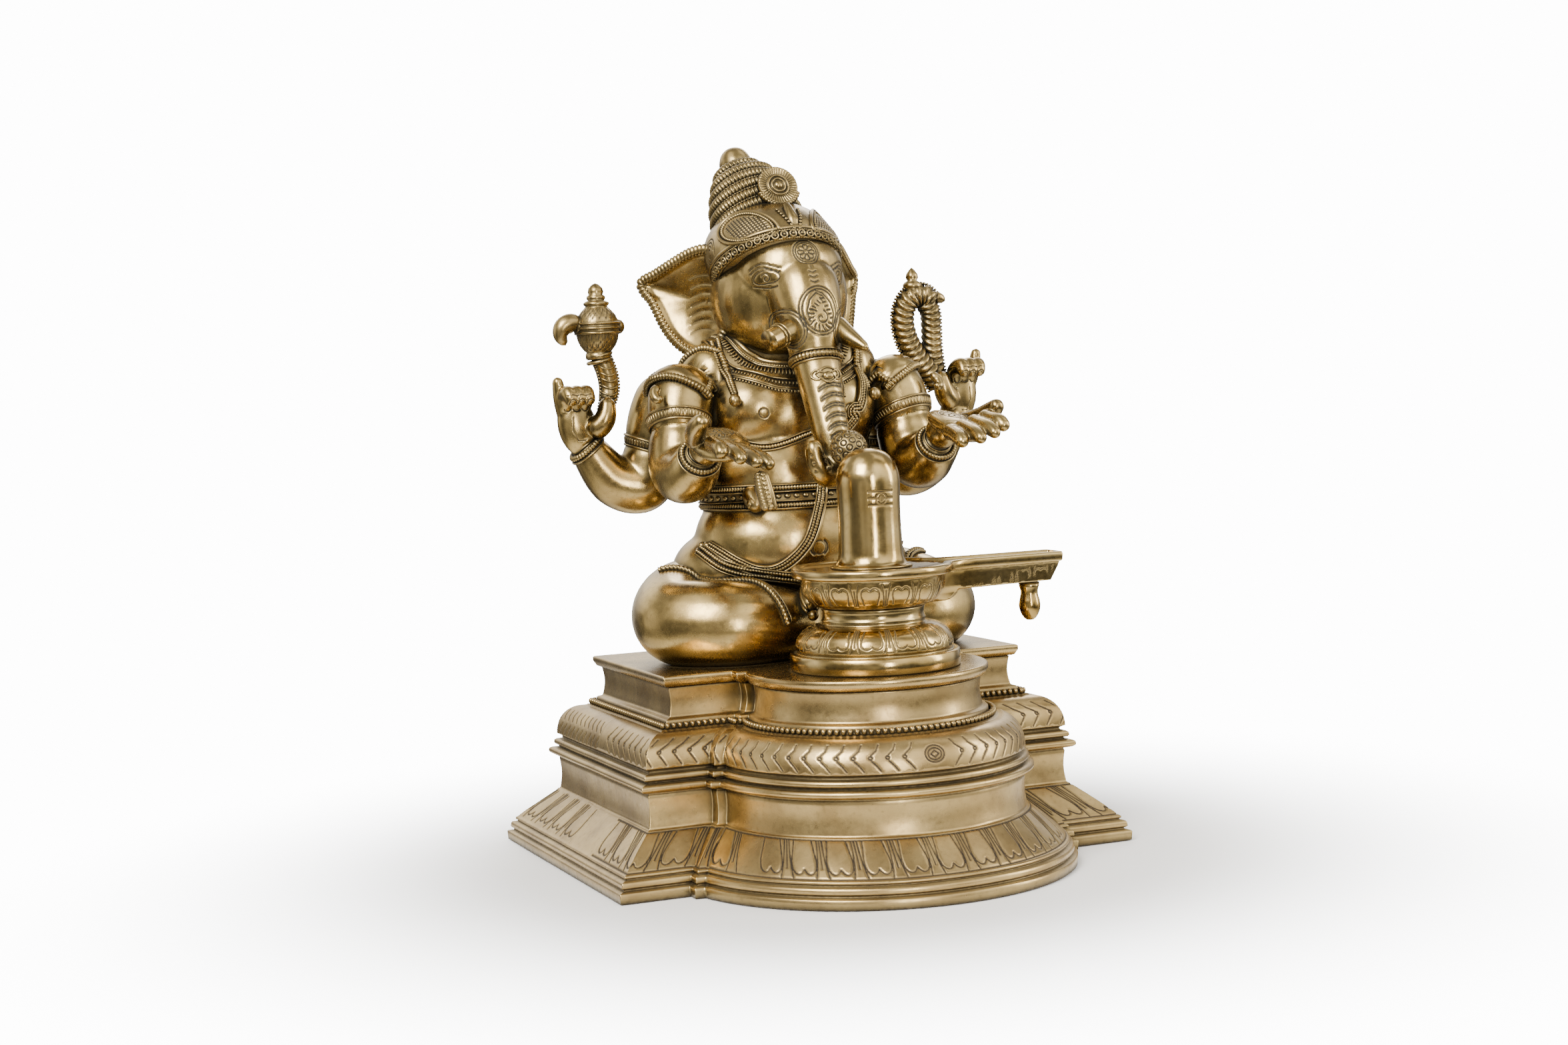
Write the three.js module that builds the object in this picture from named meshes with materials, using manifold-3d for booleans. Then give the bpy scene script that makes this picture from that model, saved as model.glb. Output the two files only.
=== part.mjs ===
// Cast brass figure of an elephant-headed deity seated behind a domed shrine emblem, on a moulded pedestal.
// Millimetres, +Z up, +X to the figure's left, the figure faces -Y.
// The origin is the centre of the pedestal's footprint, on the surface that it stands on.
import * as THREE from 'three';
import { mergeVertices } from 'three/addons/utils/BufferGeometryUtils.js';
import Module from 'manifold-3d';

const wasm = await Module();
wasm.setup();

// ---- driving dimensions ----
const gap = 0.3;             // joint left between castings
const baseWidth = 360;       // pedestal, side to side at the floor
const baseRear = 183;        // rear face of the pedestal
const baseFront = -71;       // front face of the pedestal's straight part
const apseCentreY = -52;     // centre of the half-round front
const apseRadius = 131;
const pilaster = 9;          // small square shoulder where the half-round meets the front
const wall = 5;              // wall of the pedestal castings
const seamY = 56;            // seam between the front and rear castings
const plateTop = 131.9;
const plateInset = 52.6;     // how far the top plate stands in from the footprint
const setX = 2;              // axis of the emblem set
const setY = -62;

// ---- helpers: solids from three.js geometry, and joins and cuts between them ----
function solid(geometry) {
  const bare = geometry.clone();
  bare.deleteAttribute('normal');
  bare.deleteAttribute('uv');
  const merged = mergeVertices(bare, 1e-4);
  const vertProperties = new Float32Array(merged.attributes.position.array);
  const triVerts = new Uint32Array(merged.index.array);
  return new wasm.Manifold(new wasm.Mesh({ numProp: 3, vertProperties, triVerts }));
}

const join = (...solids) => solids.reduce((whole, next) => whole.add(next));

function toGeometry(manifold) {
  const mesh = manifold.getMesh();
  const geometry = new THREE.BufferGeometry();
  geometry.setAttribute('position', new THREE.BufferAttribute(mesh.vertProperties, 3));
  geometry.setIndex(new THREE.BufferAttribute(mesh.triVerts, 1));
  geometry.computeVertexNormals();
  return geometry;
}

// An ellipsoid, turned by angles in degrees about X, Y and Z.
function ball(centre, radii, grow = 0, turn = [0, 0, 0], detail = [12, 8]) {
  const geometry = new THREE.SphereGeometry(1, ...detail);
  geometry.scale(...radii.map((radius) => radius + grow));
  const angles = turn.map(THREE.MathUtils.degToRad);
  geometry.applyMatrix4(new THREE.Matrix4().makeRotationFromEuler(new THREE.Euler(...angles, 'ZYX')));
  return solid(geometry.translate(...centre));
}

// A round-ended limb: the rows of a sphere are moved along a curve, each with the radius at its place.
function limb(points, radii, grow = 0, sides = 10, rows = 10) {
  const curve = new THREE.CatmullRomCurve3(points.map((point) => new THREE.Vector3(...point)));
  const lengths = curve.getLengths(rows * 8);
  const total = lengths[rows * 8];
  const widths = new THREE.SplineCurve(radii.map((radius, i) => new THREE.Vector2(i, radius)));
  const geometry = new THREE.SphereGeometry(1, sides, rows);
  const place = geometry.attributes.position;
  const normal = new THREE.Vector3();
  for (let row = 0; row <= rows; row += 1) {
    const t = 0.5 - 0.5 * Math.cos(Math.PI * row / rows);
    const tangent = curve.getTangent(t);
    if (row === 0) {
      normal.set(Math.abs(tangent.z) < 0.8 ? 0 : 1, 0, Math.abs(tangent.z) < 0.8 ? 1 : 0);
    }
    normal.addScaledVector(tangent, -normal.dot(tangent)).normalize();
    const side = tangent.clone().cross(normal);
    const width = widths.getPoint(t).y;
    const along = lengths[Math.round(t * rows * 8)];
    const reach = Math.min(along, total - along, width);
    const round = Math.sqrt(1 - (1 - reach / width) ** 2);
    const centre = curve.getPoint(t);
    if (row === 0 || row === rows) {
      centre.addScaledVector(tangent, row === 0 ? -grow : grow);
    }
    for (let column = 0; column <= sides; column += 1) {
      const turn = (2 * Math.PI * (column % sides)) / sides;
      const vertex = centre.clone();
      vertex.addScaledVector(normal, -Math.cos(turn) * (width + grow) * round);
      vertex.addScaledVector(side, Math.sin(turn) * (width + grow) * round);
      place.setXYZ(row * (sides + 1) + column, ...vertex.toArray());
    }
  }
  return solid(geometry);
}

// A turned piece about a vertical axis, from its outline [radius, height], given either way round.
// The outline starts and ends on the axis, or closes on itself.
function turned(outline, x = 0, y = 0, segments = 28) {
  const profile = outline.map(([radius, height]) => new THREE.Vector2(radius, height));
  if (THREE.ShapeUtils.area(profile) < 0) {
    profile.reverse();
  }
  const geometry = new THREE.LatheGeometry(profile, segments);
  return solid(geometry.rotateX(Math.PI / 2).translate(x, y, 0));
}

// A band about any axis: a solid disc, round or oval, that is then cut clear of what it clasps.
function clasp(centre, along, outer, width, flatten = 1, segments = 14) {
  const profile = [[0, -width / 2], [outer, -width / 2], [outer, width / 2], [0, width / 2]];
  const geometry = new THREE.LatheGeometry(profile.map(([r, h]) => new THREE.Vector2(r, h)), segments);
  geometry.scale(1, 1, flatten);
  const direction = new THREE.Vector3(...along).normalize();
  const turn = new THREE.Quaternion().setFromUnitVectors(new THREE.Vector3(0, 1, 0), direction);
  geometry.applyQuaternion(turn);
  return solid(geometry.translate(...centre));
}

// A cord or bead string of one thickness along a smooth line.
function strand(points, radius, steps, sides = 6) {
  const path = new THREE.CatmullRomCurve3(points.map((point) => new THREE.Vector3(...point)));
  const section = new THREE.Shape();
  for (let i = 0; i < sides; i += 1) {
    const turn = (2 * Math.PI * i) / sides;
    const move = i === 0 ? 'moveTo' : 'lineTo';
    section[move](radius * Math.cos(turn), radius * Math.sin(turn));
  }
  return solid(new THREE.ExtrudeGeometry(section, { steps, extrudePath: path, bevelEnabled: false }));
}

function box(low, high) {
  const size = low.map((value, i) => high[i] - value);
  const geometry = new THREE.BoxGeometry(...size);
  return solid(geometry.translate(...low.map((value, i) => value + size[i] / 2)));
}

const mirror = (points) => points.map(([x, y, z]) => [-x, y, z]);

// ---- pedestal: a rectangle with a half-round front, stacked in tiers that step in and out ----
// The outline of one tier, drawn in from the footprint by inset.
function tierOutline(inset) {
  const half = baseWidth / 2 - inset;
  const rear = baseRear - inset;
  const front = baseFront + inset;
  const radius = apseRadius - inset;
  const meetY = front - pilaster;
  const meetX = Math.sqrt(radius ** 2 - (meetY - apseCentreY) ** 2);
  const start = Math.atan2(meetY - apseCentreY, meetX);
  const sweep = -Math.PI - 2 * start;
  const outline = [[half, rear], [-half, rear], [-half, front], [-meetX - pilaster * 0.7, front],
    [-meetX - pilaster * 0.7, meetY]];
  const arcSteps = 12;
  for (let i = arcSteps; i >= 0; i -= 1) {
    const turn = start + (sweep * i) / arcSteps;
    outline.push([radius * Math.cos(turn), apseCentreY + radius * Math.sin(turn)]);
  }
  outline.push([meetX + pilaster * 0.7, meetY], [meetX + pilaster * 0.7, front], [half, front]);
  return outline;
}

// Tiers, each [height, inset], joined into one solid between the first and the last.
function tiers(levels) {
  const rings = levels.map(([height, inset]) => tierOutline(inset).map(([x, y]) => [x, y, height]));
  const count = rings[0].length;
  const flat = rings[0].map(([x, y]) => new THREE.Vector2(x, y));
  const caps = THREE.ShapeUtils.triangulateShape(flat, []);
  const index = [];
  const last = (rings.length - 1) * count;
  caps.forEach(([a, b, c]) => index.push(a, c, b, last + a, last + b, last + c));
  for (let level = 0; level < rings.length - 1; level += 1) {
    for (let i = 0; i < count; i += 1) {
      const a = level * count + i;
      const b = level * count + ((i + 1) % count);
      index.push(a, b, b + count, a, b + count, a + count);
    }
  }
  const geometry = new THREE.BufferGeometry();
  geometry.setAttribute('position', new THREE.Float32BufferAttribute(rings.flat(2), 3));
  geometry.setIndex(index);
  return solid(geometry);
}

const pedestalLevels = [[0, 0], [7, -0.6], [9, 4], [16.9, 5.1], [38.7, 30], [61.2, 30.6], [64, 26.4],
  [67.5, 26.4], [78.2, 32], [97.1, 45.3], [104, 56], [124.4, 57.2]];
const hollowLevels = [[-1, wall], [14, wall + 6], [38, wall + 31], [76, wall + 33], [96, wall + 52],
  [126, wall + 57]];
const pedestalShell = tiers(pedestalLevels).subtract(tiers(hollowLevels));
const frontHalf = box([-200, -200, -5], [200, seamY - gap / 2, 130]);
const rearHalf = box([-200, seamY + gap / 2, -5], [200, 200, 130]);

// ---- the figure's forms; grow makes each larger all round, to cut a neighbour clear of it ----
const forms = {
  crossed_legs: (grow) => join(
    limb([[-42, 95, 170], [-78, 78, 168], [-94, 40, 160], [-68, 17, 158], [-24, 17, 155], [4, 20, 150]],
      [30, 30, 29, 30, 24, 16], grow, 10, 10),
    limb([[42, 95, 170], [78, 78, 168], [93, 40, 158], [68, 19, 156], [22, 22, 152]],
      [30, 30, 29, 28, 22], grow, 10, 9),
    ball([0, 88, 166], [76, 42, 34], grow),
  ),
  torso: (grow) => join(
    ball([0, 64, 210], [70, 56, 50], grow, [0, 0, 0], [14, 8]),
    ball([0, 74, 256], [62, 46, 42], grow),
    ball([0, 78, 300], [68, 42, 40], grow),
    limb([[-68, 78, 318], [0, 84, 330], [68, 78, 318]], [25, 27, 25], grow, 8, 5),
  ),
  head: (grow) => join(
    ball([0, 70, 378], [43, 46, 48], grow, [0, 0, 0], [14, 9]),
    ball([-2, 54, 396], [34, 34, 27], grow),
    limb([[-20, 52, 364], [-19, 30, 354], [-18, 20, 350]], [22, 17, 12], grow, 6, 4),
    limb([[20, 52, 364], [19, 30, 354], [18, 20, 350]], [22, 17, 12], grow, 6, 4),
  ),
  trunk: (grow) => join(
    limb([[0, 46, 396], [1, 27, 376], [1, 17, 354], [1, 12, 330], [1, 3, 306], [1, -7, 284], [2, -13, 266]],
      [19, 20, 20, 16, 14, 12, 11], grow, 12, 10),
    limb([[2, -12, 268], [-1, -16, 258], [-9, -19, 257], [-15, -20, 267], [-17, -20, 282]],
      [11, 9, 8, 7, 5], grow, 8, 7),
  ),
};

// Arms, given for the figure's left side; the right side is their mirror image.
const rearShoulder = [[70, 86, 322], [84, 90, 298], [92, 92, 266]];
const rearForearm = [[88, 92, 288], [97, 93, 252], [116, 94, 254], [139, 93, 280]];
const frontShoulder = [[70, 70, 324], [80, 60, 302], [84, 52, 276]];
const frontForearm = [[81, 57, 298], [86, 47, 262], [86, 28, 260], [85, 8, 275]];
const sides = { right: mirror, left: (points) => points };

for (const [side, place] of Object.entries(sides)) {
  const sign = side === 'left' ? 1 : -1;
  const raise = side === 'left' ? 7 : 0;    // the left hands were set a little higher when the arms were joined
  forms[`${side}_rear_upper_arm`] = (grow) => limb(place(rearShoulder), [23, 21, 19], grow, 8, 6);
  forms[`${side}_rear_forearm`] = (grow) => limb(place(rearForearm), [19, 20, 18, 12], grow, 8, 7);
  forms[`${side}_front_upper_arm`] = (grow) => limb(place(frontShoulder), [25, 22, 20], grow, 8, 6);
  forms[`${side}_front_forearm`] = (grow) => limb(place(frontForearm), [20, 21, 19, 14], grow, 8, 7);
  forms[`${side}_front_hand`] = (grow) => join(
    ball([84 * sign, -24, 279 + raise / 2], [18, 33, 8], grow, [14, 14 * sign, 0], [8, 5]),
    ...[-14, -5, 4, 13].map((across, i) => limb(place([
      [84 + across, -46, 276 + across * 0.3 + raise],
      [84 + across * 1.1, -64, 273 + across * 0.35 + raise],
      [84 + across * 1.2, -78 + Math.abs(across) * 0.5, 268 + across * 0.3 + raise]]),
    [6, 5.4, 4 - i * 0.1], grow, 5, 4)),
    limb(place([[94, -12, 282], [103, -34, 290], [104, -52, 297]]), [8, 6.5, 4.5], grow, 5, 4),
  );
  forms[`${side}_rear_hand`] = (grow) => join(
    ball([143 * sign, 90, 295 + raise], [14, 10, 22], grow, [0, 12 * sign, 0], [8, 6]),
    ...[0, 1, 2].map((i) => limb(place([
      [138 + i * 6, 87, 306 + raise], [140 + i * 6, 78, 314 + raise], [138 + i * 6, 71, 304 + raise]]),
    [6, 5.6, 4.4], grow, 5, 3)),
    limb(place([[150, 92, 300 + raise], [154, 88, 312 + raise], [156, 87, 324 + raise]]), [6, 5, 3.6], grow, 5, 3),
    limb(place([[134, 84, 290 + raise], [126, 79, 300 + raise], [124, 79, 312 + raise]]), [8, 7.5, 5], grow, 5, 3),
  );
}

// Head pieces: ears, tusks and the tall crown of coiled hair that leans back.
const crownFoot = [-4, 79, 414];
const crownPeak = [-12, 108, 464];
for (const [side, place] of Object.entries(sides)) {
  const sign = side === 'left' ? 1 : -1;
  forms[`${side}_ear`] = (grow) => {
    // Outline in the plane of the ear: distance out from the head, and height about the ear's middle.
    const outline = new THREE.Shape();
    outline.moveTo(-4, -20);
    outline.lineTo(-4, 26);
    outline.quadraticCurveTo(14, 40, 34, 27);
    outline.lineTo(72, 12);
    outline.quadraticCurveTo(52, 4, 45, -8);
    outline.quadraticCurveTo(36, -28, 22, -34);
    outline.quadraticCurveTo(6, -38, -4, -20);
    const plate = new THREE.ExtrudeGeometry(outline, { depth: 9 + 2 * grow, bevelEnabled: false, curveSegments: 3 });
    plate.translate(0, 0, -4.5 - grow);
    plate.rotateX(Math.PI / 2);
    plate.rotateZ(Math.atan2(55, 41));
    plate.translate(40, 72, 374);
    if (sign < 0) {
      plate.applyMatrix4(new THREE.Matrix4().makeScale(-1, 1, 1));
      const index = [...Array(plate.attributes.position.count).keys()];
      for (let i = 0; i < index.length; i += 3) {
        [index[i], index[i + 1]] = [index[i + 1], index[i]];
      }
      plate.setIndex(index);
    }
    const bowl = ball([66 * sign, 84, 375], [22, 12, 25], 0, [0, 0, 53 * sign], [12, 8]);
    return solid(plate).subtract(bowl);
  };
}
forms.right_tusk = (grow) => limb([[-17, 14, 352], [-22, 4, 346], [-27, -8, 340]], [8, 7.5, 7], grow, 8, 6);
forms.left_tusk = (grow) => limb([[17, 14, 352], [21, 2, 345], [27, -12, 337]], [8, 6.5, 2.5], grow, 8, 6);
// The space below the crown's rim, which slopes from the brow down to the nape.
const belowRim = () => {
  const geometry = new THREE.BoxGeometry(200, 240, 120).translate(0, 0, -60);
  return solid(geometry.rotateX(-0.46).translate(0, 24, 411));
};
forms.crown = (grow) => ball([-4, 78, 406], [44, 48, 34], grow, [0, 0, 0], [14, 8])
  .subtract(belowRim());
forms.crown_coils = (grow) => limb([crownFoot, [-8, 88, 432], [-10, 98, 450], crownPeak], [34, 34, 25, 14], grow, 14, 8);
forms.crown_fan = (grow) => ball([-5, 65, 447], [14, 5, 14], grow, [-28, 0, 0], [12, 6]);
forms.crown_finial = (grow) => ball([-12, 110, 470], [11.5, 11.5, 10.5], grow, [0, 0, 0], [12, 8]);
forms.trunk_band = (grow) => clasp([1, 12, 331], [0, 0.28, 1], 19.5, 7 + grow, 1.1);
forms.flower_ball = (grow) => ball([0, -38, 272], [12.5, 12.5, 12.5], grow, [0, 0, 0], [12, 8]);

// Jewellery and cords worn by the figure.
const shoulderLine = (grow) => join(forms.torso(grow), forms.left_front_upper_arm(grow),
  forms.right_front_upper_arm(grow));
forms.collar = (grow) => forms.torso(4 + grow).intersect(ball([0, 56, 336], [52, 60, 27], grow, [10, 0, 0], [12, 7]));
forms.waist_belt = (grow) => join(
  forms.torso(4 + grow).intersect(box([-90, -20, 233 - grow], [90, 140, 247 + grow])),
  limb([[-42, 34, 246], [-42, 26, 236], [-39, 18, 228]], [6, 6, 5], grow, 6, 4),
);
forms.left_shoulder_cape = () => shoulderLine(3.5).intersect(ball([76, 66, 330], [30, 34, 22], 0, [0, 0, 0], [10, 6]));
forms.right_shoulder_cape = () => shoulderLine(3.5).intersect(ball([-76, 66, 330], [30, 34, 22], 0, [0, 0, 0], [10, 6]));
forms.sacred_thread = (grow) => strand([[44, 50, 318], [31, 39, 290], [22, 33, 275], [12, 25, 258],
  [0, 13, 232], [-14, 9, 206], [-34, 17, 191], [-54, 31, 196], [-68, 49, 208]], 4.2 + grow, 18);
forms.hip_cord = () => join(
  strand([[-71, 54, 204], [-62, 36, 195], [-42, 20, 189], [-20, 9, 183], [0, 6, 176]], 4.5, 10),
  limb([[-16, 6, 180], [-18, -4, 172], [-19, -11, 164]], [6, 7, 5.5], 0, 6, 4),
);
for (const [side, place] of Object.entries(sides)) {
  const at = (point) => place([point])[0];
  forms[`${side}_front_armlet`] = () => clasp(at([82, 57, 292]), at([3, -7, -16]), 23.2, 7);
  forms[`${side}_rear_armlet`] = (grow) => clasp(at([91, 92, 277]), at([6, 2, -20]), 21.5 + grow, 7 + 2 * grow);
  forms[`${side}_front_bracelet`] = () => clasp(at([85, 9, 274]), at([0, -18, 12]), 17, 5, 1, 16);
  forms[`${side}_rear_bracelet`] = () => clasp(at([138, 93, 279]), at([18, -1, 22]), 15.5, 5, 1, 16);
}
forms.goad = () => join(
  turned([[0, 337], [9, 338], [9, 342], [13, 350], [14.8, 358], [14.5, 364], [9.5, 374],
    [6, 380], [4.4, 383], [0, 389]], -125, 92, 10),
  limb([[-125, 92, 342], [-120, 92, 328], [-119, 92, 316], [-124, 88, 303]], [7.5, 7.5, 7, 6], 0, 8, 6),
  limb([[-134, 92, 361], [-146, 92, 362], [-151, 92, 356], [-148, 92, 348]], [7, 7, 5.5, 2.5], 0, 8, 6),
  ball([-109.5, 92, 359], [4.5, 5, 5.5], 0, [0, 0, 0], [8, 6]),
);
forms.noose = () => join(
  limb([[125, 88, 312], [112, 92, 328], [101, 92, 346], [101, 92, 365], [112, 92, 373], [122, 92, 371]],
    [8, 8.5, 8.5, 8, 8, 7.5], 0, 6, 8),
  limb([[126, 88, 312], [125, 92, 330], [128, 92, 350], [125, 92, 367], [112, 92, 373]],
    [7, 6.5, 6, 7.5, 8], 0, 6, 7),
  turned([[0, 376], [6.5, 378], [6.5, 383], [3.2, 384.5], [4.6, 387], [0, 393.5]], 111, 92, 10),
  ball([133, 92, 370], [5, 4, 4.5], 0, [0, 30, 0], [8, 6]),
);
forms.hand_tassel = () => limb([[-76, -72, 263], [-74, -73, 250], [-71, -73, 237]], [5, 6, 5.5], 0, 8, 5);

// ---- the loose emblem set: a domed shaft on a spouted basin, on a lotus stand, held together by one stud ----
const shaftRadius = 20.6;
const discRadius = 51.6;
const discTop = 198;
const bowlFoot = 171.8;
const spoutTip = 134;
const studRadius = 4;
const studBore = studRadius + gap;
forms.lotus_stand = () => turned([[studBore, 171.5], [33.5, 171.5], [33, 162.5], [38, 160.5], [46.5, 154],
  [50.6, 147], [50, 144.2], [54.9, 142.8], [54.9, plateTop + gap], [49, plateTop + gap], [45, 146],
  [30, 157], [28, 166], [studBore, 166], [studBore, 171.5]], setX, setY, 20);
forms.yoni_basin = () => {
  const bowl = turned([[studBore, bowlFoot], [33.5, bowlFoot], [40.5, 177], [45.6, 185], [46.4, 190.5],
    [discRadius, 191], [discRadius, discTop - 1], [discRadius - 1.5, discTop], [discRadius - 5, discTop],
    [discRadius - 7, discTop - 1.5], [studBore, discTop - 1.5], [studBore, bowlFoot]], setX, setY, 20);
  const side = new THREE.Shape([[setX + 40, discTop], [spoutTip, discTop], [spoutTip - 1, 191],
    [spoutTip - 8, 179], [setX + 60, 177.5], [setX + 36, 178]].map(([x, z]) => new THREE.Vector2(x, z)));
  const sideSolid = new THREE.ExtrudeGeometry(side, { depth: 60, bevelEnabled: false });
  sideSolid.rotateX(Math.PI / 2).translate(0, setY + 30, 0);
  const trough = box([setX + 42, setY - 7.5, discTop - 5], [spoutTip + 2, setY + 7.5, discTop + 2]);
  const plan = new THREE.Shape([[setX + 30, -24], [setX + 64, -14], [spoutTip, -11.5], [spoutTip, 11.5],
    [setX + 64, 14], [setX + 30, 24]].map(([x, y]) => new THREE.Vector2(x, setY + y)));
  const planSolid = new THREE.ExtrudeGeometry(plan, { depth: 40, bevelEnabled: false }).translate(0, 0, 165);
  return join(bowl, solid(sideSolid).intersect(solid(planSolid)).subtract(trough))
    .subtract(turned([[0, 165], [studBore, 165], [studBore, 200], [0, 200]], setX, setY, 12));
};
forms.spout_knob = () => turned([[0, 153], [5, 156], [7.4, 162], [6.5, 169], [5.5, 178.4], [0, 178.4]], 115, setY, 12)
  .subtract(forms.yoni_basin());
forms.lingam = (grow) => turned([[0, discTop - 1.5 + gap - grow], [25 + grow, discTop - 1.2 - grow],
  [21.8 + grow, 202], [shaftRadius + grow, 208], [shaftRadius + grow, 252], [19 + grow, 262],
  [14.5 + grow, 268.8], [8 + grow, 272 + grow], [0, 273 + grow]], setX, setY, 18);
forms.tie_stud = (grow) => turned([[0, 152 - grow], [studRadius + grow, 152 - grow],
  [studRadius + grow, 224 + grow], [0, 224 + grow]], setX, setY, 12);
forms.tie_nut = () => turned([[0, 158], [7.5, 158], [7.5, 165.7], [0, 165.7]], setX, setY, 6);

// ---- the figure's own fixings: two studs down through the top plate ----
const figureStuds = { left: 46, right: -46 };
const figureStudY = 84;
for (const [side, x] of Object.entries(figureStuds)) {
  forms[`${side}_figure_stud`] = (grow) => turned([[0, 108 - grow], [studRadius + grow, 108 - grow],
    [studRadius + grow, 156 + grow], [0, 156 + grow]], x, figureStudY, 12);
  forms[`${side}_figure_washer`] = () => turned([[0, 122.6], [10, 122.6], [10, 124.4], [0, 124.4]],
    x, figureStudY, 14);
  forms[`${side}_figure_nut`] = () => turned([[0, 114.8], [7.5, 114.8], [7.5, 122.3], [0, 122.3]],
    x, figureStudY, 6);
}

// ---- what each piece is cut clear of; the later piece gives way ----
const arms = ['left_rear_upper_arm', 'right_rear_upper_arm', 'left_front_upper_arm', 'right_front_upper_arm',
  'left_rear_forearm', 'right_rear_forearm', 'left_front_forearm', 'right_front_forearm'];
const clearOf = {
  torso: ['crossed_legs'],
  head: ['torso'],
  trunk: ['torso', 'head'],
  left_ear: ['head', 'torso'],
  right_ear: ['head', 'torso'],
  left_tusk: ['head', 'trunk'],
  right_tusk: ['head', 'trunk'],
  crown: ['head', 'trunk', 'left_ear', 'right_ear'],
  crown_coils: ['head', 'crown'],
  crown_fan: ['crown', 'crown_coils', 'head'],
  crown_finial: ['crown_coils'],
  trunk_band: ['trunk', 'torso', 'head', 'left_tusk', 'right_tusk'],
  flower_ball: ['trunk', 'lingam'],
  collar: ['torso', 'head', 'trunk', 'left_ear', 'right_ear'],
  waist_belt: ['torso', ...arms],
  sacred_thread: ['torso', 'crossed_legs', 'waist_belt', 'collar', ...arms],
  hip_cord: ['torso', 'crossed_legs', 'sacred_thread'],
  goad: ['right_rear_hand'],
  noose: ['left_rear_hand'],
  hand_tassel: ['right_front_hand'],
  lingam: ['tie_stud'],
  tie_nut: ['tie_stud'],
};
for (const side of ['left', 'right']) {
  const own = (piece) => `${side}_${piece}`;
  clearOf[own('figure_washer')] = [own('figure_stud')];
  clearOf[own('figure_nut')] = [own('figure_stud')];
  clearOf[own('rear_upper_arm')] = ['torso'];
  clearOf[own('front_upper_arm')] = ['torso', own('rear_upper_arm')];
  clearOf[own('rear_forearm')] = ['torso', own('rear_upper_arm'), own('front_upper_arm')];
  clearOf[own('front_forearm')] = ['torso', own('rear_upper_arm'), own('front_upper_arm'), own('rear_forearm')];
  clearOf[own('rear_hand')] = [own('rear_forearm')];
  clearOf[own('front_hand')] = [own('front_forearm')];
  clearOf[own('shoulder_cape')] = ['torso', 'head', own('ear'), own('front_upper_arm'), own('rear_upper_arm'),
    'collar', 'sacred_thread'];
  clearOf[own('front_armlet')] = ['torso', ...arms, own('rear_armlet'), own('shoulder_cape')];
  clearOf[own('rear_armlet')] = ['torso', ...arms];
  clearOf[own('front_bracelet')] = [own('front_forearm'), own('front_hand')];
  clearOf[own('rear_bracelet')] = [own('rear_forearm'), own('rear_hand')];
}
const grown = {};
const clear = (shape, names) => names.reduce((left, name) => {
  grown[name] ??= forms[name](gap);
  return left.subtract(grown[name]);
}, shape);

// ---- the object ----
const object = new THREE.Group();
object.name = 'seated_deity';
const finishes = {
  satin: new THREE.MeshStandardMaterial({ color: 0xb08a45, roughness: 0.35, metalness: 1 }),
  polished: new THREE.MeshStandardMaterial({ color: 0xc49a4c, roughness: 0.22, metalness: 1 }),
  chased: new THREE.MeshStandardMaterial({ color: 0x8f6f38, roughness: 0.45, metalness: 1 }),
  steel: new THREE.MeshStandardMaterial({ color: 0x77756f, roughness: 0.45, metalness: 1 }),
};
function add(name, shape, finish) {
  const mesh = new THREE.Mesh(toGeometry(shape), finishes[finish]);
  mesh.name = name;
  object.add(mesh);
}

const studNames = ['left_figure_stud', 'right_figure_stud'];
const topPlate = tiers([[124.7, plateInset + 2], [127.3, plateInset], [plateTop, plateInset]]);
add('pedestal_front', pedestalShell.intersect(frontHalf), 'satin');
add('pedestal_rear', pedestalShell.intersect(rearHalf), 'satin');
add('pedestal_top_plate', clear(topPlate, studNames), 'satin');

const belowSeat = box([-200, -200, 100], [200, 200, plateTop + gap]);
const polished = ['lingam', 'yoni_basin', 'spout_knob', 'lotus_stand'];
const steel = ['tie_stud', 'tie_nut', ...studNames, 'left_figure_washer', 'right_figure_washer',
  'left_figure_nut', 'right_figure_nut'];
const plain = ['crossed_legs', 'torso', 'head', 'trunk'];
for (const name of Object.keys(forms)) {
  let shape = clear(forms[name](0), clearOf[name] ?? []);
  if (name === 'crossed_legs') {
    shape = clear(shape, studNames).subtract(belowSeat);
  }
  const chased = plain.includes(name) || /arm$|forearm$|hand$/.test(name) ? 'satin' : 'chased';
  const finish = steel.includes(name) ? 'steel' : polished.includes(name) ? 'polished' : chased;
  add(name, shape, finish);
}

export default object;
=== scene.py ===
# Seated elephant-headed deity in cast brass, with a domed emblem on a spouted basin, on a moulded pedestal.
# Metres in Blender; the shapes below are worked out in millimetres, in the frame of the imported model.
import math
import bmesh
import bpy
import numpy as np
from mathutils import Matrix, Vector
from mathutils.bvhtree import BVHTree
from mathutils.kdtree import KDTree


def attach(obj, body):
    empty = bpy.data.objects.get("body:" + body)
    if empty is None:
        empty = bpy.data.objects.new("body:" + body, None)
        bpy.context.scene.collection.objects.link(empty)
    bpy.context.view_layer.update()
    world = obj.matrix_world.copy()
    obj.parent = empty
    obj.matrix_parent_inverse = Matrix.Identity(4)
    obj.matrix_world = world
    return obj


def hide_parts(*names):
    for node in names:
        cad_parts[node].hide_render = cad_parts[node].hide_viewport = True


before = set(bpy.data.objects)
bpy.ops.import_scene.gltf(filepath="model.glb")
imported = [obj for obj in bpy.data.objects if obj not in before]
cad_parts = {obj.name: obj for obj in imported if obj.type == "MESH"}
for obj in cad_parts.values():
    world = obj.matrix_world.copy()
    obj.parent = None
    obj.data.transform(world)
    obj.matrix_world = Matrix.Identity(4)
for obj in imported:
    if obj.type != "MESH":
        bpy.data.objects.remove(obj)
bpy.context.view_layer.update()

mm = 0.001


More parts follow.
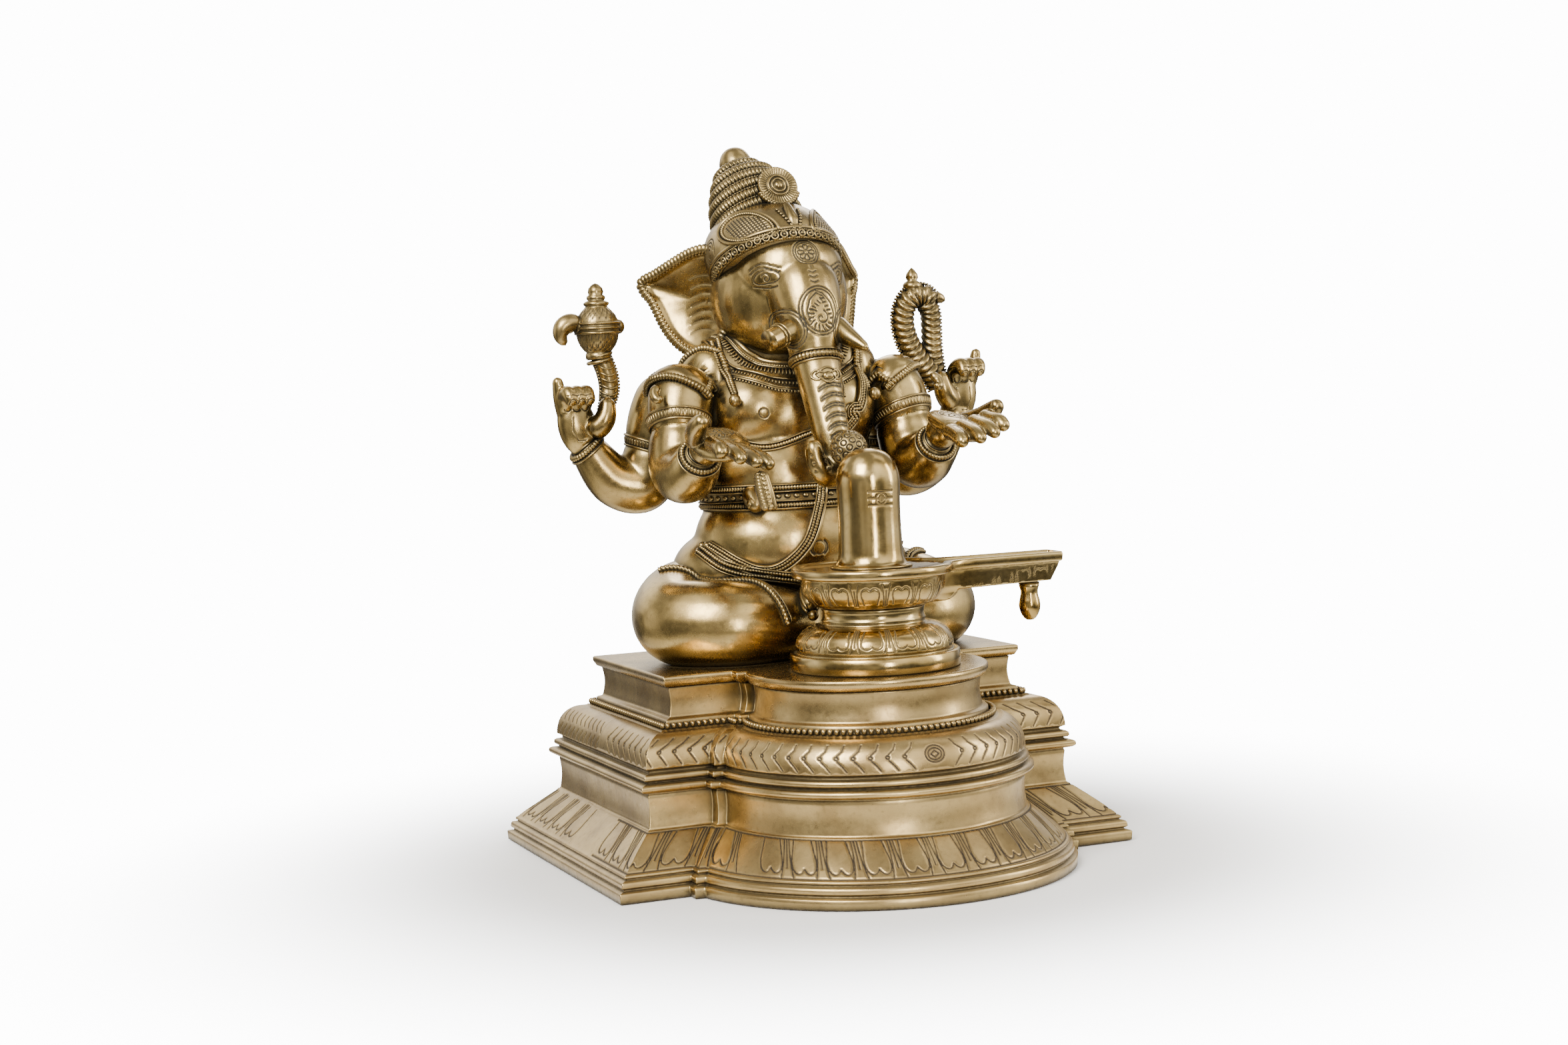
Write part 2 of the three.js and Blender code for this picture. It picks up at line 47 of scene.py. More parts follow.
# ---- Camera, floor and studio light ----
# The figure stands on a pale sheet before a white backdrop, seen a little from its right and almost level.
# One large soft window stands high on its right, three weaker softboxes fill from the other sides, and the
# metal mirrors a dim, blotchy room in place of the backdrop.
def srgb(code):
    """An sRGB hex colour as linear red, green, blue and alpha."""
    parts = [int(code[i:i + 2], 16) / 255 for i in (1, 3, 5)]
    return [c / 12.92 if c <= 0.04045 else ((c + 0.055) / 1.055) ** 2.4 for c in parts] + [1.0]


def add_node(tree, kind, links=None, **settings):
    """Adds a node; settings name its properties, and links gives its inputs a value, a node or an output."""
    node = tree.nodes.new(kind)
    for key, value in settings.items():
        setattr(node, key, value)
    for key, value in (links or {}).items():
        socket = node.inputs[key] if isinstance(key, int) else next(
            s for s in node.inputs if s.name == key and s.enabled)
        if isinstance(value, bpy.types.Node):
            value = next(s for s in value.outputs if s.enabled)
        if isinstance(value, bpy.types.NodeSocket):
            tree.links.new(value, socket)
        else:
            socket.default_value = value
    return node


def shade(name):
    """A new material with an empty node tree, ready for a shader and its output node."""
    material = bpy.data.materials.new(name)
    material.use_nodes = True
    material.node_tree.nodes.clear()
    return material, material.node_tree


camera_place = Vector((-0.644, -1.522, 0.330))
azimuth, pitch, roll = (math.radians(a) for a in (-21.9, 3.68, -2.53))
back = Vector((math.sin(azimuth) * math.cos(pitch), -math.cos(azimuth) * math.cos(pitch), math.sin(pitch)))
level = Vector((math.cos(azimuth), math.sin(azimuth), 0))
upright = back.cross(level)
across = math.cos(roll) * level + math.sin(roll) * upright
upward = -math.sin(roll) * level + math.cos(roll) * upright
lens = bpy.data.cameras.new("camera")
lens.lens = 57.2
lens.sensor_width = 36
lens.clip_end = 100
camera = bpy.data.objects.new("camera", lens)
camera.matrix_world = Matrix.Translation(camera_place) @ Matrix((across, upward, back)).transposed().to_4x4()
bpy.context.scene.collection.objects.link(camera)
bpy.context.scene.camera = camera

floor_material, tree = shade("white_paper_floor")
# Matt white paper: no gloss, and faint cloudiness from its pulp, about 40 mm across.
cloud = add_node(tree, "ShaderNodeTexNoise", {"Scale": 25.0, "Detail": 2.0})
tone = add_node(tree, "ShaderNodeMix", {"Factor": cloud, "A": srgb("#f1f0ee"), "B": srgb("#f5f4f2")},
                data_type="RGBA")
paper = add_node(tree, "ShaderNodeBsdfPrincipled", {"Base Color": tone, "Roughness": 0.9})
# The sheet thins out to nothing from 0.2 m to 0.6 m, so that it has no visible edge.
away = add_node(tree, "ShaderNodeVectorMath", {0: add_node(tree, "ShaderNodeTexCoord").outputs["Object"]},
                operation="LENGTH").outputs["Value"]
thin = add_node(tree, "ShaderNodeMapRange", {"Value": away, "From Min": 0.2, "From Max": 0.6},
                interpolation_type="SMOOTHSTEP")
clear = add_node(tree, "ShaderNodeBsdfTransparent")
sheet = add_node(tree, "ShaderNodeMixShader", {0: thin, 1: paper, 2: clear})
add_node(tree, "ShaderNodeOutputMaterial", {"Surface": sheet})
bpy.ops.mesh.primitive_circle_add(vertices=96, radius=1.0, fill_type="NGON", location=(0, 0, -0.0004))
floor = bpy.context.object
floor.name = "floor"
floor.data.materials.append(floor_material)


def soft_light(name, place, target, size, power, color):
    """A large rectangular softbox that faces its target."""
    lamp = bpy.data.lights.new(name, "AREA")
    lamp.shape = "RECTANGLE"
    lamp.size, lamp.size_y = size
    lamp.energy = power
    lamp.color = color
    holder = bpy.data.objects.new(name, lamp)
    holder.location = place
    holder.rotation_euler = (Vector(target) - Vector(place)).to_track_quat("-Z", "Y").to_euler()
    bpy.context.scene.collection.objects.link(holder)


middle = (0, 0, 0.24)
soft_light("window_light", (-1.3, -1.1, 1.55), middle, (0.9, 1.1), 72, (1.0, 0.98, 0.94))
soft_light("side_light", (1.7, -0.7, 0.8), middle, (0.35, 1.3), 18, (1.0, 0.97, 0.92))
soft_light("low_light", (-0.2, -2.4, 0.5), middle, (0.3, 0.9), 22, (1.0, 0.96, 0.9))
soft_light("rear_light", (0.9, 1.6, 1.3), middle, (1.2, 0.6), 10, (1.0, 0.98, 0.96))

world = bpy.data.worlds.new("white_room")
bpy.context.scene.world = world
world.use_nodes = True
tree = world.node_tree
tree.nodes.clear()
# The metal mirrors a dim grey room with a bright ceiling; only the camera's own rays see the white backdrop.
around = add_node(tree, "ShaderNodeTexCoord")
split = add_node(tree, "ShaderNodeSeparateXYZ", {"Vector": around.outputs["Generated"]})
height = add_node(tree, "ShaderNodeMapRange",
                  {"Value": split.outputs["Z"], "From Min": -0.25, "From Max": 0.9})
room = add_node(tree, "ShaderNodeValToRGB", {"Fac": height})
room.color_ramp.elements[0].color = srgb("#7c7a74")
room.color_ramp.elements[1].color = srgb("#fffdf8")
room.color_ramp.elements[1].position = 0.75
unevenness = add_node(tree, "ShaderNodeTexNoise", {"Vector": around.outputs["Generated"], "Scale": 1.6,
                                                   "Detail": 1.0})
walls = add_node(tree, "ShaderNodeMapRange", {"Value": unevenness, "From Min": 0.4, "From Max": 0.6,
                                              "To Min": 0.3, "To Max": 1.75})
dim = add_node(tree, "ShaderNodeVectorMath", {0: room.outputs["Color"], 1: walls},
               operation="MULTIPLY")
seen = add_node(tree, "ShaderNodeLightPath")
mirrored = add_node(tree, "ShaderNodeBackground", {"Color": dim, "Strength": 1.5})
backdrop = add_node(tree, "ShaderNodeBackground", {"Color": srgb("#ffffff"), "Strength": 14.0})
sky = add_node(tree, "ShaderNodeMixShader", {0: seen.outputs["Is Camera Ray"], 1: mirrored, 2: backdrop})
add_node(tree, "ShaderNodeOutputWorld", {"Surface": sky})


# ---- Pedestal ----
# A stepped shrine base, half round in front, cast in brass as a front and a rear shell about 5 mm thick and
# brazed along a seam on each side; a separate rolled plate closes the top. The lotus slope and the rounded
# course above it are engraved by hand, and a bead row is soldered along the step.
def brass(name, bright, dull, patina, gloss, patina_and_shade=1.0, stain=None):
    """Brass with its hammered, filed and buffed skin: bright where hands and cloths rub it, brown with patina
    in the hollows, and darkened over every broad hollow by painted shade.

    The eye gets a soft mirror with warm streaks, fine file marks about 0.6 mm apart, and dark lines where
    the engraving and the gaps between beads keep their old polish and soot.
    """
    material, tree = shade(name)
    place = add_node(tree, "ShaderNodeTexCoord").outputs["Object"]
    broad = add_node(tree, "ShaderNodeTexNoise", {"Vector": place, "Scale": 1 / (28 * mm), "Detail": 3.0})
    fine = add_node(tree, "ShaderNodeTexNoise", {"Vector": place, "Scale": 1 / (3.2 * mm), "Detail": 4.0})
    blend = add_node(tree, "ShaderNodeMapRange", {"Value": broad, "From Min": 0.35,
                                                  "From Max": 0.65})
    skin = add_node(tree, "ShaderNodeMix", {"Factor": blend, "A": srgb(bright),
                                            "B": srgb(dull)}, data_type="RGBA")
    speck = add_node(tree, "ShaderNodeMapRange", {"Value": fine, "From Min": 0.56,
                                                  "From Max": 0.74, "To Max": 0.2 * patina_and_shade})
    skin = add_node(tree, "ShaderNodeMix", {"Factor": speck, "A": skin, "B": srgb(patina)},
                    data_type="RGBA")
    # Painted shade: every broad hollow within about 16 mm is darkened towards olive brown, standing in for
    # the shade that falls there.
    broad_reach = add_node(tree, "ShaderNodeAmbientOcclusion", {"Distance": 16 * mm}, samples=6).outputs["AO"]
    hollow_shade = add_node(tree, "ShaderNodeMapRange", {"Value": broad_reach, "From Min": 0.97, "From Max": 0.4,
                                                   "To Max": min(1.0, 0.8 * patina_and_shade)})
    skin = add_node(tree, "ShaderNodeMix", {"Factor": hollow_shade, "A": skin, "B": srgb("#5a533c")},
                    data_type="RGBA")
    # Soot and old polish stay where a cloth can't reach: in the cuts, and within 4.5 mm of an inner corner.
    cut = add_node(tree, "ShaderNodeAttribute", attribute_name="cut").outputs["Fac"]
    reach = add_node(tree, "ShaderNodeAmbientOcclusion", {"Distance": 4.5 * mm}, samples=8).outputs["AO"]
    corner = add_node(tree, "ShaderNodeMapRange",
                      {"Value": reach, "From Min": 0.65 + 0.15 * patina_and_shade, "From Max": 0.3,
                                                   "To Max": 0.85 * patina_and_shade})
    uneven = add_node(tree, "ShaderNodeMapRange", {"Value": fine, "From Min": 0.3, "From Max": 0.7,
                                                   "To Min": 0.75, "To Max": 1.2})
    grime = add_node(tree, "ShaderNodeMath", {0: corner, 1: uneven}, operation="MULTIPLY", use_clamp=True)
    dirt = add_node(tree, "ShaderNodeMath", {0: grime, 1: cut}, operation="MAXIMUM", use_clamp=True)
    skin = add_node(tree, "ShaderNodeMix", {"Factor": dirt, "A": skin, "B": srgb(patina)},
                    data_type="RGBA")
    for code, centre, radius in stain or ():
        away = add_node(tree, "ShaderNodeVectorMath", {0: place, 1: [c * mm for c in centre]},
                        operation="DISTANCE")
        near = add_node(tree, "ShaderNodeMapRange", {"Value": away, "From Min": radius * mm,
                                                     "From Max": 0.3 * radius * mm})
        ragged = add_node(tree, "ShaderNodeMath", {0: near, 1: fine},
                          operation="MULTIPLY")
        skin = add_node(tree, "ShaderNodeMix", {"Factor": ragged, "A": skin, "B": srgb(code)},
                        data_type="RGBA")
    rough = add_node(tree, "ShaderNodeMapRange", {"Value": fine, "From Min": 0.3,
                                                  "From Max": 0.75, "To Min": gloss, "To Max": gloss + 0.1})
    rough = add_node(tree, "ShaderNodeMix", {"Factor": dirt, "A": rough,
                                             "B": 0.62})
    lined = add_node(tree, "ShaderNodeMapping", {"Vector": place, "Rotation": (0.3, 0.2, 0.5),
                                                 "Scale": (1.0, 7.0, 5.0)})
    files = add_node(tree, "ShaderNodeTexNoise", {"Vector": lined, "Scale": 1 / (4 * mm),
                                                  "Detail": 2.0})
    dents = add_node(tree, "ShaderNodeTexNoise", {"Vector": place, "Scale": 1 / (11 * mm), "Detail": 1.0})
    bump = add_node(tree, "ShaderNodeBump", {"Height": dents, "Distance": 0.45 * mm,
                                             "Strength": 0.35})
    bump = add_node(tree, "ShaderNodeBump", {"Height": files, "Distance": 0.05 * mm,
                                             "Strength": 0.35, "Normal": bump})
    metal = add_node(tree, "ShaderNodeMapRange", {"Value": dirt, "To Min": 1.0, "To Max": 0.55})
    shader = add_node(tree, "ShaderNodeBsdfPrincipled", {"Base Color": skin, "Roughness": rough,
                                                         "Metallic": metal,
                                                         "Normal": bump})
    add_node(tree, "ShaderNodeOutputMaterial", {"Surface": shader})
    return material


def sweep(rings, loop=False):
    """Closed skin over a row of closed rings (n, m, 3); loop joins the last ring to the first."""
    rings = np.asarray(rings, float)
    count, sides, _ = rings.shape
    points = rings.reshape(-1, 3)
    i, j = np.meshgrid(np.arange(count if loop else count - 1), np.arange(sides), indexing="ij")
    a = i * sides + j
    b = i * sides + (j + 1) % sides
    c = ((i + 1) % count) * sides + (j + 1) % sides
    d = ((i + 1) % count) * sides + j
    faces = np.stack([a, d, c, b], -1).reshape(-1, 4).tolist()
    if not loop:
        faces += [list(range(sides)), list(range((count - 1) * sides, count * sides))[::-1]]
    return points, faces


def merge(shapes):
    """Several shapes as one."""
    points, faces, start = [], [], 0
    for own_points, own_faces in shapes:
        points.append(own_points)
        faces += [[start + i for i in face] for face in own_faces]
        start += len(own_points)
    return np.concatenate(points), faces


def to_mesh(name, shape):
    """A Blender mesh from a shape in millimetres, with its faces turned outwards."""
    mesh = bpy.data.meshes.new(name)
    mesh.from_pydata((np.asarray(shape[0]) * mm).tolist(), [], shape[1])
    mesh.validate()
    work = bmesh.new()
    work.from_mesh(mesh)
    bmesh.ops.recalc_face_normals(work, faces=work.faces)
    work.to_mesh(mesh)
    work.free()
    return mesh


def piece(name, mesh, material, body, slot, *nodes):
    """Puts a finished mesh in the scene as one piece that rides on a body and stands for its solids."""
    if not isinstance(mesh, bpy.types.Mesh):
        mesh = to_mesh(name, mesh)
    mesh.name = name
    mesh.materials.append(material)
    mesh.polygons.foreach_set("use_smooth", [True] * len(mesh.polygons))
    made = bpy.data.objects.new(name, mesh)
    bpy.context.scene.collection.objects.link(made)
    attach(made, body)
    if nodes:
        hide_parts(*nodes)
    return made


def engrave(mesh, lines, width=1.1, depth=0.55, rounds=2, dark=1.0):
    """Cuts V grooves along lines of points: the mesh is made finer beside them, then pushed in and marked."""
    dense = []
    for line in lines:
        line = np.asarray(line, float)
        gaps = np.linalg.norm(np.diff(line, axis=0), axis=1)
        for start, end, gap in zip(line[:-1], line[1:], gaps):
            steps = max(1, int(gap / (0.35 * width)))
            dense += [start + (end - start) * k / steps for k in range(steps)]
        dense.append(line[-1])
    tree = KDTree(len(dense))
    for index, point in enumerate(dense):
        tree.insert(point * mm, index)
    tree.balance()
    work = bmesh.new()
    work.from_mesh(mesh)
    for _ in range(rounds):
        edges = set()
        for face in work.faces:
            centre = face.calc_center_median()
            reach = max((corner.co - centre).length for corner in face.verts)
            if reach > 0.5 * width * mm and tree.find(centre)[2] < reach + 0.55 * width * mm:
                edges.update(face.edges)
        if not edges:
            break
        bmesh.ops.subdivide_edges(work, edges=list(edges), cuts=1, use_grid_fill=True)
    work.normal_update()
    mark = work.verts.layers.float.get("cut") or work.verts.layers.float.new("cut")
    half = 0.5 * width * mm
    moves = []
    for vertex in work.verts:
        away = tree.find(vertex.co)[2]
        if away < 1.3 * half:
            share = max(0.0, 1 - away / (1.3 * half))
            moves.append((vertex, vertex.normal * (-depth * mm * min(1.0, 1.3 * share))))
            vertex[mark] = max(vertex[mark], dark * min(1.0, 1.6 * share))
    for vertex, move in moves:
        vertex.co += move
    work.to_mesh(mesh)
    work.free()
    return mesh


def spaced(start, end, step, edge=0.0):
    """Fractions from 0 to 1 about one step apart, with an extra one close to each end if edge is set."""
    length = math.dist(start, end)
    count = max(1, round(length / step))
    inner = [k / count for k in range(1, count)]
    if edge and length > 3 * edge:
        inner = [edge / length] + [f for f in inner if edge * 1.6 < f * length < length - edge * 1.6]
        inner.append(1 - edge / length)
    return [0.0] + inner


base_half = 180.0
base_rear = 183.0
base_front = -71.0
apse_y = -52.0
apse_radius = 131.0
shoulder = 9.0
seam_y = 56.0
brass_edge = 0.7      # how near an arris the extra rows of points stand, which keeps it crisp


def base_corners(inset):
    """Half of the front outline: seam, front corner, shoulder, and where the half round starts."""
    half = base_half - inset
    front = base_front + inset
    meet_y = front - shoulder
    radius = apse_radius - inset
    meet_x = math.sqrt(radius ** 2 - (meet_y - apse_y) ** 2)
    notch = meet_x + shoulder * 0.7
    return [(half, seam_y), (half, front), (notch, front), (notch, meet_y), (meet_x, meet_y)], radius


def front_outline(inset, step=2.6):
    """The front casting's outline at one inset, from the seam on the right round to the seam on the left."""
    corners, radius = base_corners(inset)
    plan = base_corners(0)[0]
    side = []
    for (a, b), (start, end) in zip(zip(corners, corners[1:]), zip(plan, plan[1:])):
        for f in spaced(start, end, step, brass_edge):
            side.append((a[0] + (b[0] - a[0]) * f, a[1] + (b[1] - a[1]) * f))
    begin = math.atan2(corners[-1][1] - apse_y, corners[-1][0])
    arc_steps = 124
    turns = [begin + (-math.pi - 2 * begin) * k / arc_steps for k in range(arc_steps + 1)]
    arc = [(radius * math.cos(t), apse_y + radius * math.sin(t)) for t in turns]
    return side + arc + [(-x, y) for x, y in reversed(side)]


def rear_outline(inset, step=4.0):
    """The rear casting's outline at one inset, from the left seam round the back to the right seam."""
    half = base_half - inset
    rear = base_rear - inset
    corners = [(-half, seam_y), (-half, rear), (half, rear), (half, seam_y)]
    plan = [(-base_half, seam_y), (-base_half, base_rear), (base_half, base_rear), (base_half, seam_y)]
    line = []
    for (a, b), (start, end) in zip(zip(corners, corners[1:]), zip(plan, plan[1:])):
        for f in spaced(start, end, step, brass_edge):
            line.append((a[0] + (b[0] - a[0]) * f, a[1] + (b[1] - a[1]) * f))
    return line + [corners[-1]]


def bow(start, end, sag, count):
    """Points from start up to end along a shallow curve that stands sag proud of the straight line."""
    points = []
    for k in range(count + 1):
        f = k / count
        points.append((start[0] + (end[0] - start[0]) * f,
                       start[1] + (end[1] - start[1]) * f - sag * math.sin(math.pi * f)))
    return points


# Height and inset up the outside, then down the inside.
slope_low, slope_high = (17.4, 6.2), (38.0, 29.2)
course = [(77 + 20.5 * math.sin(a), 46.5 - 16.5 * math.cos(a)) for a in np.linspace(0, math.pi / 2, 14)]
outside = [(0, 0.5), (0.5, -0.3), (6.2, -0.6), (6.9, 0.1), (7.5, 3.2), (8.5, 3.6), (9.0, 2.4), (9.8, 1.6),
           (12.4, 2.0), (13.3, 2.8), (13.8, 5.6), (14.6, 5.8), (15.2, 4.6), (16.4, 4.7), (17.0, 5.6)]
outside += bow(slope_low, slope_high, 0.9, 12)
outside += [(38.6, 30.4), (39.4, 30.9)] + bow((40.2, 31.0), (60.0, 31.2), -1.2, 8)
outside += [(60.8, 31.6), (61.6, 31.9), (62.0, 30.0), (62.8, 27.0), (63.8, 25.6), (65.2, 25.2), (66.6, 25.6),
            (67.4, 27.0), (67.8, 30.8), (69.0, 31.2), (69.5, 29.0), (70.6, 28.2), (72.6, 28.4), (73.5, 29.8),
            (73.9, 32.8), (75.6, 33.0), (76.4, 31.4)]
outside += course
outside += [(97.6, 48.0), (98.4, 48.6), (98.7, 52.6), (99.4, 53.6), (101.0, 53.4), (103.2, 53.6),
            (104.0, 54.4),
            (104.6, 56.6), (105.4, 57.2)] + bow((106.2, 57.3), (122.8, 57.3), -1.0, 7) + [(124.2, 57.0)]
inside = [(124.4, 61.6), (110, 59.2), (96, 57), (84, 45), (76, 38.6), (60, 37.2), (38, 36), (26, 23.5),
          (14, 11),
          (4, 6.4), (0, 5.5)]


def wobble(x, y, z):
    """The small unevenness of a hand-finished casting, in millimetres."""
    return 0.35 * math.sin(x / 23 + 1.3 * math.sin(y / 31)) * math.cos(y / 27 + z / 19)


def shell(outline_at, levels):
    """A wall swept along the outline: its section is the closed line of levels."""
    loops = np.array([[(x, y, z + 0.4 * wobble(x, y, z)) if 2 < z < 123 else (x, y, z)
                       for x, y in outline_at(inset + wobble(z * 3, inset, 40))] for z, inset in levels])
    return sweep(loops.transpose(1, 0, 2))


def face_place(where, z):
    """A point on the front casting's skin: where is a distance in mm from the middle of the half round,
    along the outline at mid slope, positive to the right; z picks the height."""
    heights = [level[0] for level in outside]
    inset = float(np.interp(z, heights, [level[1] for level in outside]))
    corners, radius = base_corners(inset)
    seen_corners, seen_radius = base_corners(18 if z < 60 else 38)
    sign = 1 if where >= 0 else -1
    distance = abs(where)
    begin = math.atan2(seen_corners[-1][1] - apse_y, seen_corners[-1][0])
    arc_length = seen_radius * (math.pi / 2 + begin)
    if distance <= arc_length:
        now = math.atan2(corners[-1][1] - apse_y, corners[-1][0])
        turn = -math.pi / 2 + (math.pi / 2 + now) * distance / arc_length
        return sign * radius * math.cos(turn), apse_y + radius * math.sin(turn), z
    distance -= arc_length
    for k in (3, 2, 1, 0):
        a, b = seen_corners[k + 1], seen_corners[k]
        length = math.dist(a, b)
        if distance <= length or k == 0:
            f = distance / length
            a, b = corners[k + 1], corners[k]
            return sign * (a[0] + (b[0] - a[0]) * f), a[1] + (b[1] - a[1]) * f, z
        distance -= length


def ring(radius, centre=(0.0, 0.0), count=12):
    """A circle of 2-D points."""
    turns = np.linspace(0, 2 * math.pi, count + 1)
    return [(centre[0] + radius * math.cos(t), centre[1] + radius * math.sin(t)) for t in turns]


def lotus(width):
    """One engraved petal, points down.

    An arch whose foot turns in to a cusp. Width in mm, depth from 0 to 1.
    """
    side = [(0.29, 0.06), (0.33, 0.3), (0.37, 0.55), (0.33, 0.76), (0.2, 0.86), (0.08, 0.83), (0.0, 0.73)]
    rounded = smooth_line([(x * width, y * 10, 0) for x, y in side], width / 14)
    side = [tuple(point) for point in rounded[:, :2]]
    return [(-x, y / 10) for x, y in side] + [(x, y / 10) for x, y in reversed(side)]


def divider(width):
    """The flaring lines between two petals."""
    lines = []
    for start, end, foot in ((0.0, 0.0, 0.72), (-0.075, -0.17, 0.95), (0.075, 0.17, 0.95)):
        lines.append([((start + (end - start) * f ** 2.2) * width, 0.04 + (foot - 0.04) * f)
                      for f in np.linspace(0, 1, 8)])
    return lines


def smooth_line(points, step):
    """A rounded line through the points, about one step apart.

    Extra columns, such as a radius, follow along.
    """
    given = np.array(points, float)
    given = np.vstack([2 * given[0] - given[1], given, 2 * given[-1] - given[-2]])
    made = []
    for a, b, c, d in zip(given[:-3], given[1:-2], given[2:-1], given[3:]):
        knots = [0.0]
        for start, end in ((a, b), (b, c), (c, d)):
            knots.append(knots[-1] + max(np.linalg.norm(end[:3] - start[:3]), 1e-6) ** 0.5)
        count = max(2, round(np.linalg.norm(c[:3] - b[:3]) / step))
        t = np.linspace(knots[1], knots[2], count, endpoint=False)[:, None]
        first = (a * (knots[1] - t) + b * t) / knots[1]
        second = (b * (knots[2] - t) + c * (t - knots[1])) / (knots[2] - knots[1])
        third = (c * (knots[3] - t) + d * (t - knots[2])) / (knots[3] - knots[2])
        low = (first * (knots[2] - t) + second * t) / knots[2]
        high = (second * (knots[3] - t) + third * (t - knots[1])) / (knots[3] - knots[1])
        made.append((low * (knots[2] - t) + high * (t - knots[1])) / (knots[2] - knots[1]))
    return np.vstack(made + [given[-2:-1]])


def round_bead(centre, radii, axes, sides=8, rows=5):
    """One bead: an ellipsoid with its own three axes."""
    a, b, c = (np.asarray(axis, float) for axis in axes)
    loops = []
    for row in range(1, rows):
        polar = math.pi * row / rows
        turns = np.arange(sides) * 2 * math.pi / sides
        loops.append(centre + np.outer(np.cos(turns) * math.sin(polar) * radii[0], a)
                     + np.outer(np.sin(turns) * math.sin(polar) * radii[1],
                                b) + math.cos(polar) * radii[2] * c)
    return sweep(loops)


def along(line, pitch):
    """Rows of the line at an even pitch, and its direction there; the last gap is shared out."""
    line = np.asarray(line, float)
    runs = np.concatenate([[0], np.cumsum(np.linalg.norm(np.diff(line[:, :3], axis=0), axis=1))])
    count = max(1, round(runs[-1] / pitch))
    marks = (np.arange(count) + 0.5) * runs[-1] / count
    rows = np.stack([np.interp(marks, runs, column) for column in line.T], -1)
    ahead = np.stack([np.interp(np.minimum(marks + 0.3, runs[-1]), runs, line[:, k]) for k in range(3)], -1)
    behind = np.stack([np.interp(np.maximum(marks - 0.3, 0), runs, line[:, k]) for k in range(3)], -1)
    direction = ahead - behind
    return rows, direction / np.linalg.norm(direction, axis=1)[:, None]


def bead_row(line, pitch, radii):
    """Beads set along a line of points and facings: radii are along it, across it, and out of the surface."""
    places, directions = along(line, pitch)
    made = []
    for place, direction in zip(places, directions):
        out = place[3:6] - direction * place[3:6].dot(direction)
        out /= np.linalg.norm(out)
        made.append(round_bead(place[:3], radii, (direction, np.cross(out, direction), out)))
    return merge(made)


old_brass = dict(bright="#c3a871", dull="#a3895a", patina="#2a2114")
filed_brass = brass("filed_cast_brass", gloss=0.27, **old_brass)
plate_brass = brass("rolled_plate_brass", gloss=0.22, patina_and_shade=0.4, **old_brass)

front_mesh = to_mesh("pedestal_front", shell(front_outline, outside + inside))
petal = 26.5


def slope_z(down):
    """The height on the lotus slope: 0 at its top, 1 at its foot."""
    return slope_high[0] + (slope_low[0] - slope_high[0]) * down


def on_slope(middle, points):
    """Engraving for the lotus slope: across in mm, down from 0 to 1."""
    return [face_place(middle + x, slope_z(y)) for x, y in points]


lotus_lines = []
for side in (-1, 1):
    for k in range(6):
        place = side * k * petal * 0.86
        if k == 0 and side > 0:
            continue
        lotus_lines.append(on_slope(place, lotus(petal * 0.82)))
    for k in range(5):
        lotus_lines += [on_slope(side * (k + 0.5) * petal * 0.86, line) for line in divider(petal * 0.9)]
    wing = 150.0
    lotus_lines.append(on_slope(side * (wing + 8), lotus(petal)))
    lotus_lines += [on_slope(side * (wing - 5), line) for line in divider(petal)]
    lotus_lines += [on_slope(side * (wing + 22), line) for line in divider(petal * 0.8)]
    for k in range(4):
        lotus_lines.append(on_slope(side * (wing + 48 + k * petal), lotus(petal * 0.95)))
        lotus_lines += [on_slope(side * (wing + 34.5 + k * petal), line) for line in divider(petal)]
for depth in (0.03, 0.985):
    lotus_lines.append([face_place(where, slope_z(depth)) for where in np.arange(-290, 291, 4)])

course_line = []
pitch = 10.4
course_foot, course_rise = 77.5, 19.0


def chevron(hook):
    """The two strokes of one chevron: across in mm, and from 0 at the course's foot to 1 at its top."""
    return [[(-hook, 0.88), (-hook * 0.4, 0.72), (hook * 0.6, 0.58)],
            [(hook * 0.6, 0.4), (-hook * 0.2, 0.24), (-hook * 0.9, 0.06)]]


def on_course(middle, points):
    """Engraving for the rounded course: across in mm, and from 0 at its foot to 1 at its top."""
    return [face_place(middle + x, course_foot + course_rise * y) for x, y in points]


for side in (-1, 1):
    for k in range(1, 28):
        at = side * (6 + k * pitch)
        hook = side * 3.6
        course_line += [on_course(at, stroke) for stroke in chevron(hook)]
        course_line.append(on_course(at + hook * 0.75, [(x, 0.5 + y / 24) for x, y in ring(1.15)]))
for radius in (6.3, 4.4):
    course_line.append(on_course(0, [(x, 0.5 + y / 24) for x, y in ring(radius, count=20)]))
course_line.append(on_course(0, [(x, 0.5 + y / 24) for x, y in ring(2.6, count=4)]))
engrave(front_mesh, lotus_lines, width=1.5, depth=0.5)
engrave(front_mesh, course_line, width=1.5, depth=0.5)
piece("pedestal_front_shell", front_mesh, filed_brass, "statue", "pedestal_brass", "pedestal_front")

rear_mesh = to_mesh("pedestal_rear", shell(rear_outline, outside + inside))


def rear_place(where, z):
    """A point on the rear casting's skin; where is in mm along its outline from the left seam."""
    inset = float(np.interp(z, [level[0] for level in outside], [level[1] for level in outside]))
    half, rear = base_half - inset, base_rear - inset
    corners = [(-half, seam_y), (-half, rear), (half, rear), (half, seam_y)]
    seen = [(-162, seam_y), (-162, 165), (162, 165), (162, seam_y)]
    for a, b, start, end in zip(corners, corners[1:], seen, seen[1:]):
        length = math.dist(start, end)
        if where <= length or start == seen[2]:
            f = min(max(where / length, 0), 1)
            return a[0] + (b[0] - a[0]) * f, a[1] + (b[1] - a[1]) * f, z
        where -= length


